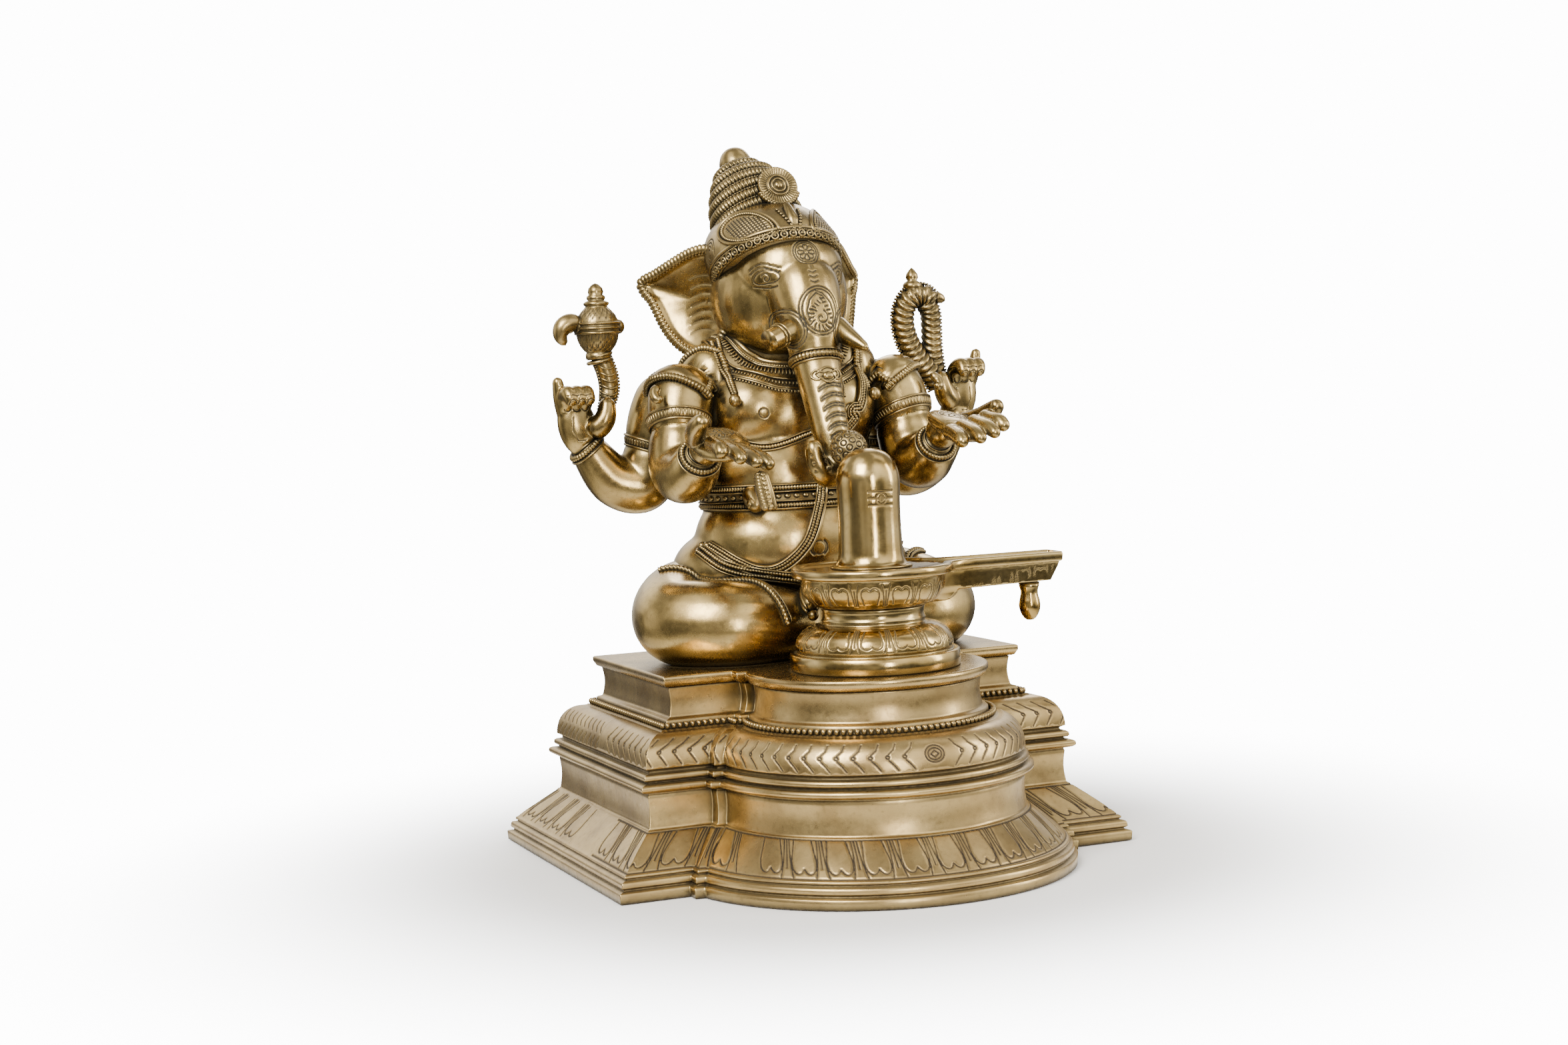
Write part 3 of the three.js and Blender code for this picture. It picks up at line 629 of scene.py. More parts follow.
back_lines = []
back_petal = 27.0
for k in range(20):
    middle_at = 12 + k * back_petal
    back_lines.append([rear_place(middle_at + x, slope_z(y)) for x, y in lotus(back_petal * 0.95)])
    for line in divider(back_petal):
        back_lines.append([rear_place(middle_at + back_petal / 2 + x, slope_z(y)) for x, y in line])
back_course = []
for k in range(51):
    at = 6 + k * pitch
    hook = 3.6 if k > 25 else -3.6
    for stroke in chevron(hook):
        back_course.append([rear_place(at + x, course_foot + course_rise * y) for x, y in stroke])
engrave(rear_mesh, back_lines, width=1.5, depth=0.5)
engrave(rear_mesh, back_course, width=1.5, depth=0.5)
piece("pedestal_rear_shell", rear_mesh, filed_brass, "statue", "pedestal_brass", "pedestal_rear")

bead_inset, bead_height = 50.2, 100.6
for name, outline_at in (("front", front_outline), ("rear", rear_outline)):
    line = [(x, y, bead_height, 0, 0, 1) for x, y in outline_at(bead_inset)]
    row = bead_row(line, 4.3, (1.75, 2.1, 2.3))
    piece(f"pedestal_{name}_bead_row", row, filed_brass, "statue", "pedestal_brass")

plate_top = 131.9
plate_levels = [(124.7, 56.0), (125.2, 54.4), (127.0, 53.4), (128.6, 52.5), (131.0, 52.4), (plate_top, 53.2)]


def plate_outline(inset):
    """The whole plate's outline: the front outline closed across the back."""
    return front_outline(inset) + rear_outline(inset)[1:-1]


plate_loops = []
for z, inset in plate_levels:
    plate_loops.append([(x + 0.7 * wobble(y * 2, x, z), y + 0.7 * wobble(x * 2, y, z), z)
                        for x, y in plate_outline(inset)])
plate_loops.append([(x, y, plate_top) for x, y in plate_outline(54.5)])
plate_mesh = to_mesh("pedestal_top_plate", sweep(plate_loops))
piece("pedestal_top_plate_sheet", plate_mesh, plate_brass, "statue", "pedestal_brass", "pedestal_top_plate")


# ---- Emblem set ----
# A domed shaft on a spouted basin, on a lotus stand, all turned and polished brass. The castings are
# stacked on one steel stud with a nut inside the stand, and the set stands loose on the pedestal's top
# plate.
def lathe(profile, axis_at, sides=120):
    """A turned piece about an upright axis, from [radius, height] points."""
    turns = np.arange(sides) * 2 * math.pi / sides
    return sweep([[(axis_at[0] + max(r, 0.01) * math.cos(t), axis_at[1] + max(r, 0.01) * math.sin(t), z)
                   for t in turns] for r, z in profile])


set_at = (2.0, -62.0)
polished = brass("polished_turned_brass", bright="#cab077", dull="#b09255", patina="#2a2113", gloss=0.14,
                 patina_and_shade=0.75)
bell = [(50.3, 144.4), (50.9, 146.0)] + [(50.9 - 17 * (1 - math.cos(a)), 147 + 13.8 * math.sin(a))
                                         for a in np.linspace(0.08, math.pi / 2, 14)]
stand_profile = [(47.5, 132.3), (54.4, 132.3), (54.9, 133.0), (55.1, 138.0), (54.8, 142.2), (54.2, 142.9),
                 (51.8, 143.1), (51.2, 142.6), (50.6, 142.8), (50.0, 143.6)] + bell
stand_profile += [(33.4, 161.4), (33.0, 162.4), (33.8, 163.4), (33.2, 164.4), (32.6, 166.0), (32.8, 169.0),
                  (33.4, 170.6), (33.0, 171.5)]
stand_inner = [(5.0, 171.5), (5.0, 166.0), (28, 166), (30, 157), (45, 146), (47.5, 140)]
stand_mesh = to_mesh("lotus_stand", sweep(np.array([
    [(set_at[0] + r * math.cos(t), set_at[1] + r * math.sin(t), z) for r, z in stand_profile + stand_inner]
    for t in np.arange(150) * 2 * math.pi / 150]), loop=True))
bell_petals = 14


def on_bell(k, points, radii, heights, petals, spread):
    """Engraving for a turned surface: petals are counted round it, from 0 at the top to 1 at the foot."""
    made = []
    for x, y in points:
        z = heights[0] + (heights[1] - heights[0]) * y
        r = float(np.interp(z, radii[0], radii[1]))
        turn = 2 * math.pi * k / petals + x / spread - math.pi / 2
        made.append((set_at[0] + r * math.cos(turn), set_at[1] + r * math.sin(turn), z))
    return made


bell_skin = ([p[1] for p in stand_profile[9:]], [p[0] for p in stand_profile[9:]])
bell_lines = []
for k in range(bell_petals):
    bell_lines.append(on_bell(k, lotus(17.5), bell_skin, (159.6, 146.5), bell_petals, 46))
    bell_lines += [on_bell(k + 0.5, line, bell_skin, (160.2, 145.6), bell_petals,
                           46) for line in divider(17.5)]
engrave(stand_mesh, bell_lines, width=0.85, depth=0.45)
piece("lotus_stand_casting", stand_mesh, polished, "emblem_set", "polished_brass", "lotus_stand")


def keyhole(radius, half, tip):
    """Half of the basin's outline, from the middle of the spout's tip round to the back of the disc."""
    reach = tip - set_at[0]
    flare = math.asin(min(0.99, (half + 9) / radius))
    corner = (radius * math.cos(flare), radius * math.sin(flare))
    line = [(reach, 0.0), (reach, half * 0.5), (reach, half - 0.8), (reach - 0.8, half)]
    waist = (radius + 14, half + 1.6)
    line += [(reach + (waist[0] - reach) * f, half + 1.6 * f) for f in np.linspace(0.02, 1, 22)]
    for f in np.linspace(0.12, 1, 9):
        line.append(((1 - f) ** 2 * waist[0] + 2 * f * (1 - f) * (radius + 1) + f ** 2 * corner[0],
                     (1 - f) ** 2 * waist[1] + 2 * f * (1 - f) * (half + 3.5) + f ** 2 * corner[1]))
    for t in np.linspace(flare, math.pi, 61)[1:]:
        line.append((radius * math.cos(t), radius * math.sin(t)))
    return line


def basin_ring(radius, half, tip, height, spout_height=None):
    """One closed ring of the basin at a height; the spout may stand at a height of its own."""
    side = keyhole(radius, half, tip)
    ring_points = []
    for x, y in side:
        away = min(max((x - radius) / 14, 0), 1)
        z = height if spout_height is None else height + (spout_height - height) * away ** 0.5
        ring_points.append((set_at[0] + x, set_at[1] + y, z))
    other = [(x, 2 * set_at[1] - y, z) for x, y, z in reversed(ring_points[1:-1])]
    return ring_points + other


bowl = [(33.5, 171.8)] + [(33.5 + 12.6 * math.sin(a), 190 - 18 * math.cos(a)) for a in np.linspace(0.05, 1.5,
        12)]
bowl_rings = []
for r, z in bowl:
    if z < 178.5:
        bowl_rings.append(basin_ring(r, 8.0, set_at[0] + r + 1.0, z))
    else:
        lean = (z - 178.5) / 12
        bowl_rings.append(basin_ring(r, 9.4 + 1.2 * lean, 126.0 + 7 * lean, z, z - 0.5 * (1 - lean)))
bowl_rings += [basin_ring(46.0, 10.4, 133.0, 190.8), basin_ring(46.4, 10.2, 133.0, 191.4),
               basin_ring(50.8, 11.3, 134.2, 191.7), basin_ring(51.6, 11.9, 134.8, 192.6),
               basin_ring(51.7, 12.0, 135.2, 196.4), basin_ring(51.0, 11.6, 134.8, 197.7),
               basin_ring(50.0, 11.0, 134.4, 198.0), basin_ring(47.0, 8.6, 134.2, 198.0),
               basin_ring(46.2, 7.8, 134.2, 197.2), basin_ring(45.6, 7.4, 134.2, 196.4, 193.2)]
basin_points, basin_faces = sweep(bowl_rings)
basin_faces.pop()
last = len(basin_points) - len(bowl_rings[0])
half_count = len(bowl_rings[0]) // 2
for k in range(half_count):
    a, b = last + k, last + k + 1
    c = last + (len(bowl_rings[0]) - k - 1) % len(bowl_rings[0])
    d = last + (len(bowl_rings[0]) - k) % len(bowl_rings[0])
    quad = [a, b, c, d]
    basin_faces.append(quad if len(set(quad)) == 4 else list(dict.fromkeys(quad)))
basin_mesh = to_mesh("yoni_basin", (basin_points, basin_faces))
bowl_skin = ([p[1] for p in bowl], [p[0] for p in bowl])
bowl_lines = []
for k in range(bell_petals):
    if k in (3, 4):
        continue
    bowl_lines.append(on_bell(k, [(x, y) for x, y in lotus(15.0)], bowl_skin, (174.5, 188.3), bell_petals,
                              43))
    bowl_lines += [on_bell(k + 0.5, line, bowl_skin, (174.0, 189.3), bell_petals,
                           43) for line in divider(15.5)]
spout_lines = []
for side in (-1, 1):
    for k in range(5):
        middle_x = 66 + k * 13.2
        for line in [lotus(12.5)]:
            spout_lines.append([(middle_x + x, set_at[1] + side * 10.6, 179.5 + 9.6 * y) for x, y in line])
        for offset in (-0.9, 0.9):
            spout_lines.append([(middle_x + 6.6 + offset * (1 + 1.4 * y), set_at[1] + side * 10.6,
                                 179.5 + 10 * y)
                                for y in np.linspace(0, 1, 6)])
engrave(basin_mesh, bowl_lines, width=0.85, depth=0.45)
engrave(basin_mesh, spout_lines, width=0.8, depth=0.4)
piece("yoni_basin_casting", basin_mesh, polished, "emblem_set", "polished_brass", "yoni_basin")

knob = [(0.1, 153.0), (2.2, 153.3), (4.0, 154.6), (5.6, 157.0), (6.9, 160.5), (7.2, 163.5), (6.6, 167.0),
        (5.8, 170.0),
        (5.6, 172.5), (6.4, 175.0), (7.0, 178.2), (0.1, 178.2)]
piece("spout_drop_knob", lathe(knob, (115.0, set_at[1]), 40), polished, "emblem_set", "polished_brass",
      "spout_knob")

shaft = 20.6
foot = [(0.1, 196.7), (26.5, 196.7),
        (26.2, 197.6)] + [(shaft + 4.6 * (1 - math.sin(a)), 207.5 - 9.5 * math.cos(a))
                                                       for a in np.linspace(0.15, math.pi / 2, 8)]
barrel = [(shaft - 0.5 * math.sin(math.pi * f), 208 + 43 * f) for f in np.linspace(0.05, 1, 16)]
dome = [(shaft * math.cos(a) ** 0.86, 251.5 + 21.4 * math.sin(a)) for a in np.linspace(0.08,
        math.pi / 2 - 0.02, 22)]
lingam_mesh = to_mesh("lingam", lathe(foot + barrel + dome + [(0.1, 273.0)], set_at, 120))
mark_lines = []
for z in (236.5, 241.0, 245.5):
    mark_lines.append([(set_at[0] + shaft * math.sin(t), set_at[1] - shaft * math.cos(t), z)
                       for t in np.linspace(-0.42, 0.42, 14)])
for radius in (3.6, 1.6):
    mark_lines.append([(set_at[0] + shaft * math.sin(x / shaft), set_at[1] - shaft * math.cos(x / shaft),
                        241 + y)
                       for x, y in ring(radius, count=16)])
engrave(lingam_mesh, mark_lines, width=1.1, depth=0.5)
piece("lingam_shaft", lingam_mesh, polished, "emblem_set", "polished_brass", "lingam")

# Plain steel studs, nuts and washers, drawn bright and gone dull: they keep their own solids.
steel, tree = shade("dull_drawn_steel")
grain = add_node(tree, "ShaderNodeTexNoise", {"Scale": 1 / (1.5 * mm), "Detail": 3.0})
grey = add_node(tree, "ShaderNodeMix", {"Factor": grain, "A": srgb("#8d8a84"),
                                        "B": srgb("#625d55")}, data_type="RGBA")
drawn = add_node(tree, "ShaderNodeMapRange", {"Value": grain, "To Min": 0.35, "To Max": 0.6})
metal = add_node(tree, "ShaderNodeBsdfPrincipled", {"Base Color": grey, "Metallic": 1.0,
                                                    "Roughness": drawn})
add_node(tree, "ShaderNodeOutputMaterial", {"Surface": metal})
for node in ("tie_stud", "tie_nut", "left_figure_stud", "left_figure_washer", "left_figure_nut",
             "right_figure_stud", "right_figure_washer", "right_figure_nut"):
    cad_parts[node].data.materials.clear()
    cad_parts[node].data.materials.append(steel)


# ---- The figure's castings ----
# Legs, trunk of the body, head and trunk are hollow lost-wax castings, filed, buffed and brazed together.
# Brown patina and painted shade darken the folds; the bellies and knees are rubbed bright. Folds, nails and
# dress are cut by hand.
figure_brass = brass("buffed_cast_brass", bright="#bfa468", dull="#9a8252", patina="#26231a", gloss=0.21,
                     stain=[("#4b4236", (-36, 18, 388), 7), ("#8c8a83", (72, 44, 272), 6)])


def limb(points, radii, sides=28, step=1.5):
    """A round-ended bar along a smooth line, with a radius at each point."""
    rows = smooth_line([(*point, radius) for point, radius in zip(points, radii)], step)
    line, widths = rows[:, :3], rows[:, 3]
    runs = np.concatenate([[0], np.cumsum(np.linalg.norm(np.diff(line, axis=0), axis=1))])
    close = np.minimum(np.minimum(runs, runs[-1] - runs), widths)
    swell = np.sqrt(np.maximum(1e-4, 1 - (1 - close / widths) ** 2))
    tangents = np.gradient(line, axis=0)
    tangents /= np.linalg.norm(tangents, axis=1)[:, None]
    normal = np.array([0.0, 0.0, 1.0]) if abs(tangents[0][2]) < 0.8 else np.array([1.0, 0.0, 0.0])
    turns = np.arange(sides) * 2 * math.pi / sides
    loops = []
    for centre, tangent, width in zip(line, tangents, widths * swell):
        normal = normal - tangent * normal.dot(tangent)
        normal /= np.linalg.norm(normal)
        side = np.cross(tangent, normal)
        loops.append(centre + np.outer(np.cos(turns) * width, normal) + np.outer(np.sin(turns) * width, side))
    return sweep(loops)


def ball(centre, radii, turn=(0, 0, 0), sides=40, rows=26):
    """An ellipsoid, turned by angles in degrees about X, Y and Z."""
    spin = np.array(Matrix.Rotation(math.radians(turn[2]), 3, "Z") @ Matrix.Rotation(math.radians(turn[1]), 3,
            "Y")
                    @ Matrix.Rotation(math.radians(turn[0]), 3, "X"))
    return round_bead(np.array(centre, float), radii, spin.T, sides, rows)


def cast(name, shapes, grain=1.2, easing=6):
    """Melts several shapes into one skin of about one grain and eases the corners between them."""
    rough = bpy.data.objects.new(name, to_mesh(name, merge(shapes)))
    bpy.context.scene.collection.objects.link(rough)
    remesh = rough.modifiers.new("melt", "REMESH")
    remesh.mode = "VOXEL"
    remesh.voxel_size = grain * mm
    ease = rough.modifiers.new("ease", "SMOOTH")
    ease.iterations = easing
    ease.factor = 0.5
    mesh = bpy.data.meshes.new_from_object(rough.evaluated_get(bpy.context.evaluated_depsgraph_get()))
    waste = rough.data
    bpy.data.objects.remove(rough)
    bpy.data.meshes.remove(waste)
    return mesh


def cut_off(mesh, point, normal):
    """Cuts a mesh by a plane, closes the cut, and keeps the side that the normal points away from."""
    work = bmesh.new()
    work.from_mesh(mesh)
    parts = list(work.verts) + list(work.edges) + list(work.faces)
    made = bmesh.ops.bisect_plane(work, geom=parts, plane_co=Vector(point) * mm, plane_no=Vector(normal),
                                  clear_outer=True)
    rim = [item for item in made["geom_cut"] if isinstance(item, bmesh.types.BMEdge)]
    bmesh.ops.holes_fill(work, edges=rim)
    work.to_mesh(mesh)
    work.free()
    return mesh


def skin_of(*meshes):
    """A surface to lay lines on, in millimetres."""
    points, faces = [], []
    for mesh in meshes:
        start = len(points)
        points += [vertex.co / mm for vertex in mesh.vertices]
        faces += [[start + i for i in face.vertices] for face in mesh.polygons]
    return BVHTree.FromPolygons(points, faces)


def lay(skin, points, lift=0.0, step=1.2):
    """A smooth line laid on a skin; each row is a point and the way it faces."""
    rows = []
    for point in smooth_line(points, step):
        place, normal, _, _ = skin.find_nearest(Vector(point[:3]))
        rows.append((*(place + normal * lift), *normal))
    return steady(rows)


def steady(rows):
    """The same rows with their facings evened out along the line."""
    rows = np.array(rows, float)
    for _ in range(4):
        facing = rows[:, 3:6]
        before, after = np.roll(facing, 1, axis=0), np.roll(facing, -1, axis=0)
        before[0], after[-1] = facing[0], facing[-1]
        facing = facing * 2 + before + after
        rows[:, 3:6] = facing / np.linalg.norm(facing, axis=1)[:, None]
    return rows


def girdle(skin, centre, axis, start=0.0, end=360.0, lift=0.0, reach=90.0, count=90):
    """A line round a form, where a plane through centre cuts it.

    The angles are in degrees from +X round the axis.
    """
    axis = Vector(axis).normalized()
    side = Vector((1, 0, 0)) - axis * axis.x
    if side.length < 0.2:
        side = Vector((0, 1, 0)) - axis * axis.y
    side.normalize()
    other = axis.cross(side)
    rows = []
    for k in range(count + 1):
        turn = math.radians(start + (end - start) * k / count)
        way = side * math.cos(turn) + other * math.sin(turn)
        hit, normal, _, _ = skin.ray_cast(Vector(centre) + way * reach, -way, reach * 1.2)
        if hit is not None:
            rows.append((*(hit + normal * lift), *normal))
    return steady(rows)


def stamp(skin, centre, out, strokes, up=(0, 0, 1), reach=30.0):
    """Flat drawings, in mm across and up, thrown onto a skin from the way it faces."""
    out = Vector(out).normalized()
    up = (Vector(up) - out * out.dot(Vector(up))).normalized()
    right = up.cross(out)
    lines = []
    for stroke in strokes:
        line = []
        for x, y in stroke:
            hit = skin.ray_cast(Vector(centre) + right * x + up * y + out * reach, -out, reach * 2.5)[0]
            if hit is not None:
                line.append(tuple(hit))
        if len(line) > 1:
            lines.append(line)
    return lines


def beside(rows, across=0.0, lift=0.0):
    """The line shifted sideways on its surface, and off it."""
    rows = np.array(rows, float)
    direction = np.gradient(rows[:, :3], axis=0)
    direction /= np.maximum(np.linalg.norm(direction, axis=1)[:, None], 1e-9)
    rows[:, :3] += np.cross(rows[:, 3:6], direction) * across + rows[:, 3:6] * lift
    return rows


def cord(rows, wide, high, pitch=0.0, deep=0.3, slant=0.0, sides=10, taper=True):
    """A rim, or with a pitch a ribbed or twisted cord, half sunk along a line on a surface."""
    rows = np.array(rows, float)
    runs = np.concatenate([[0], np.cumsum(np.linalg.norm(np.diff(rows[:, :3], axis=0), axis=1))])
    step = pitch / 5 if pitch else 1.5
    marks = np.linspace(0, runs[-1], max(3, int(runs[-1] / step)))
    rows = np.stack([np.interp(marks, runs, column) for column in rows.T], -1)
    direction = np.gradient(rows[:, :3], axis=0)
    direction /= np.maximum(np.linalg.norm(direction, axis=1)[:, None], 1e-9)
    across = np.cross(rows[:, 3:6], direction)
    turns = np.arange(sides) * 2 * math.pi / sides
    size = np.ones((len(marks), sides))
    if pitch:
        phase = marks[:, None] / pitch + slant * np.sin(turns)[None, :] * 0.5
        size -= deep * np.abs(np.cos(math.pi * phase)) ** 6
    if taper:
        size[0] *= 0.3
        size[-1] *= 0.3
    loops = (rows[:, None, :3] + across[:, None, :] * (np.cos(turns) * wide)[None, :, None] * size[:, :, None]
             + rows[:, None, 3:6] * (np.sin(turns) * high)[None, :, None] * size[:, :, None])
    return sweep(loops)


legs_mesh = cast("crossed_legs", [
    limb([(-42, 95, 170), (-78, 78, 168), (-94, 40, 160), (-68, 17, 158), (-24, 17, 155), (4, 20, 150)],
         [30, 30, 29, 30, 24, 16]),
    limb([(42, 95, 170), (78, 78, 168), (93, 40, 158), (68, 19, 156), (22, 22, 152)], [30, 30, 29, 28, 22]),
    ball((0, 88, 166), (76, 42, 34)),
    ball((0, 84, 150), (84, 42, 25)),
    limb([(2, 22, 146), (14, 12, 141), (30, 6, 139)], [13, 11, 8]),
], grain=1.5, easing=10)
torso_mesh = cast("torso", [
    ball((0, 64, 208), (70, 56, 50)),
    ball((-40, 72, 190), (44, 46, 30)),
    ball((40, 72, 190), (44, 46, 30)),
    ball((0, 72, 252), (64, 50, 56)),
    ball((0, 78, 294), (68, 52, 48)),
    ball((-24, 62, 299), (38, 34, 31)),
    ball((24, 62, 299), (38, 34, 31)),
    limb([(-68, 78, 318), (0, 82, 326), (68, 78, 318)], [25, 31, 25]),
    limb([(0, 76, 326), (0, 70, 352)], [40, 34]),
], grain=1.3, easing=34)
head_mesh = cast("head", [
    ball((0, 71, 375), (47.5, 45, 47)),
    ball((0, 55, 391), (38, 39, 34)),
    ball((0, 51, 358), (29, 25, 22)),
    limb([(0, 46, 396), (1, 32, 379), (1, 20, 357), (1, 13, 332), (1, 3, 306), (1, -7, 284), (2, -13, 266),
          (0, -17, 257), (-9, -19, 255), (-15, -20, 264), (-18, -20, 279)],
         [22, 25, 21.5, 16.5, 14, 12.4, 11, 9, 8, 7, 5]),
], grain=0.9, easing=22)
legs_skin, torso_skin, head_skin = skin_of(legs_mesh), skin_of(torso_mesh), skin_of(head_mesh)

# Chased lines on the head: a flower roundel on the brow, chevrons, a leaf medallion, eyes and trunk folds.
petals8 = []
for k in range(8):
    turn = 2 * math.pi * k / 8
    petals8.append([(5.9 * math.cos(turn + a) * f, 5.9 * math.sin(turn + a) * f)
                    for a, f in ((-0.39, 0.3), (-0.36, 0.82), (-0.15, 1.0), (0.15, 1.0), (0.36, 0.82),
                                 (0.39, 0.3))])
brow = (0, 22, 402)
head_lines = stamp(head_skin, brow, (0, -1, 0.25),
                   [ring(9.0, count=28), ring(7.4, count=28), ring(1.6)] + petals8)
for drop in (0, 4.0, 8.0):
    head_lines += stamp(head_skin, (0, 16, 386 - drop), (0, -1, 0.4), [[(-2.6, 1.4), (0, 0), (2.6, 1.4)]])
head_lines += stamp(head_skin, (0, 16, 391), (0, -1, 0.4), [[(0, 1.2), (0, -1.4)]])
medal = (1, 2, 363)


def oval(wide, high, count=40):
    return [(wide * math.cos(t), high * math.sin(t)) for t in np.linspace(0, 2 * math.pi, count)]


leaf = [oval(11.6, 13.6), oval(10.0, 12.0)]
spiral = [(4.2 * f * math.cos(7.5 * f), -4 + 4.2 * f * math.sin(7.5 * f)) for f in np.linspace(0.08, 1, 26)]
leaf.append(spiral)
leaf.append([(-6.6, -6), (-7.6, 0), (-5.6, 6), (-1.5, 10), (1.5, 8.2)])
leaf.append([(6.4, -8), (7.8, -2), (6.6, 4), (2.6, 9.4), (-1.6, 11.2)])
for k in range(9):
    turn = 2.2 + k * 0.42
    leaf.append([((4.6 + g) * math.cos(turn + g * 0.07), -4 + (4.6 + g) * math.sin(turn + g * 0.07))
                 for g in (0, 1.4, 2.8)])
for k in range(6):
    leaf.append([(-6.2 + k * 1.6, 1.0 + k * 1.5), (-4.4 + k * 1.5, 0.4 + k * 1.2)])
    leaf.append([(7.3 - k * 0.9, -4 + k * 2.2), (5.2 - k * 0.9, -4.4 + k * 2.2)])
head_lines += stamp(head_skin, medal, (0, -1, 0.1),
                    [[(1.22 * x, 1.22 * y) for x, y in line] for line in leaf])
for sign in (-1, 1):
    eye = (sign * 31, 24, 387)
    look = (sign * 0.78, -0.62, 0.15)
    almond = [(10 * math.cos(t), 4.4 * math.sin(t) * (1 + 0.2 * math.sin(t)) + 0.12 * 9 * math.cos(t) * -sign)
              for t in np.linspace(0, 2 * math.pi, 26)]
    iris = [(3.6 * f * math.cos(9 * f), 3.6 * f * math.sin(9 * f)) for f in np.linspace(0.1, 1, 24)]
    lids = [[(-sign * -11 * f, 4.6 + 3.2 * math.sin(math.pi * (0.25 + 0.6 * f)) - 2.4 * f) for f in
             np.linspace(-0.9, 1.1, 14)]]
    lids.append([(x * 1.08, y + 2.6) for x, y in lids[0]])
    lids.append([(x * 0.9, -4.6 - 1.6 * math.sin(math.pi * (0.5 + 0.4 * x / 11))) for x, y in lids[0]])
    head_lines += stamp(head_skin, eye, look, [almond, iris] + lids)
    root = (sign * 17.5, 14, 352)
    for radius in (10.6, 12.6):
        head_lines += stamp(head_skin, root, (sign * 0.35, -0.85, -0.2), [ring(radius, count=28)])
engrave(head_mesh, head_lines, width=1.25, depth=0.6, rounds=2)

fold_lines = []
for k in range(6):
    low = 314 - k * 6.6
    deep = 12 - (331 - low) * 0.42
    for shift in (0, 1.5):
        fold_lines += stamp(head_skin, (1, deep - 18, low - shift), (-0.25, -1, -0.25),
                            [[(x, -0.035 * x * x * (1.2 + k * 0.1)) for x in np.linspace(-8.5 + k * 0.4,
                                    8.5 - k * 0.4, 12)]])
for k in range(5):
    fold_lines += stamp(head_skin, (-13 - k * 1.2, -34, 259 + k * 4.6), (0.1, -1, 0),
                        [[(-4.5, -0.8 + 0.4 * k), (4.5, 0.8)]])
engrave(head_mesh, fold_lines, width=1.6, depth=0.9, rounds=1)
trunk_mesh = head_mesh.copy()
band_at, band_axis = (1, 12, 331), (0, 0.28, 1)
cut_off(head_mesh, band_at, [-a for a in band_axis])
cut_off(trunk_mesh, band_at, band_axis)
piece("head_casting", head_mesh, figure_brass, "statue", "figure_brass", "head")
piece("trunk_casting", trunk_mesh, figure_brass, "statue", "figure_brass", "trunk")

torso_lines = []
for sign in (-1, 1):
    torso_lines += stamp(torso_skin, (sign * 34, 20, 297), (sign * 0.3, -1, 0.05), [ring(3.3, count=18)])
navel = (-4, 0, 206)
torso_lines += stamp(torso_skin, navel, (0, -1, 0.05), [ring(4.6, count=20)])
engrave(torso_mesh, torso_lines, width=1.0, depth=0.55)
deep_lines = stamp(torso_skin, navel, (0, -1, 0.05),
                   [[(6.2 * math.cos(t), 5.6 * math.sin(t)) for t in np.linspace(2.2, 4.1, 8)],
                    [(6.2 * math.cos(t), 5.6 * math.sin(t)) for t in np.linspace(-0.9, 0.9, 8)]])
engrave(torso_mesh, deep_lines, width=1.7, depth=1.0, rounds=1)
piece("torso_casting", torso_mesh, figure_brass, "statue", "figure_brass", "torso")

# The dhoti is cut into the thighs as fine folds that fan out from the crotch to a twisted hem above each
# knee.
cloth_lines = []
for sign in (-1, 1):
    for k in range(13):
        spread = k / 12
        points = [(sign * (16 + 4 * spread), 30 + 8 * spread, 176 + 8 * spread),
                  (sign * (36 + 2 * spread), 16 + 44 * spread, 178 + 18 * spread),
                  (sign * (56 + 6 * spread), 14 + 62 * spread, 176 + 22 * spread)]
        cloth_lines.append(lay(legs_skin, points, step=2.0)[:, :3])
engrave(legs_mesh, cloth_lines, width=1.5, depth=0.7)
cut_off(legs_mesh, (0, 0, 132.1), (0, 0, -1))
piece("crossed_legs_casting", legs_mesh, figure_brass, "statue", "figure_brass", "crossed_legs")


# ---- Arms and hands ----
# Each arm is cast as an upper arm and a forearm, and each hand on its own; the joints are brazed and filed
# flush, and the armlets hide them. Palms carry an engraved lotus, and the nails and finger lines are cut by
# hand.
def to_side(sign, points):
    """Points given for the figure's left, for either side."""
    return [(sign * point[0], *point[1:]) for point in points]


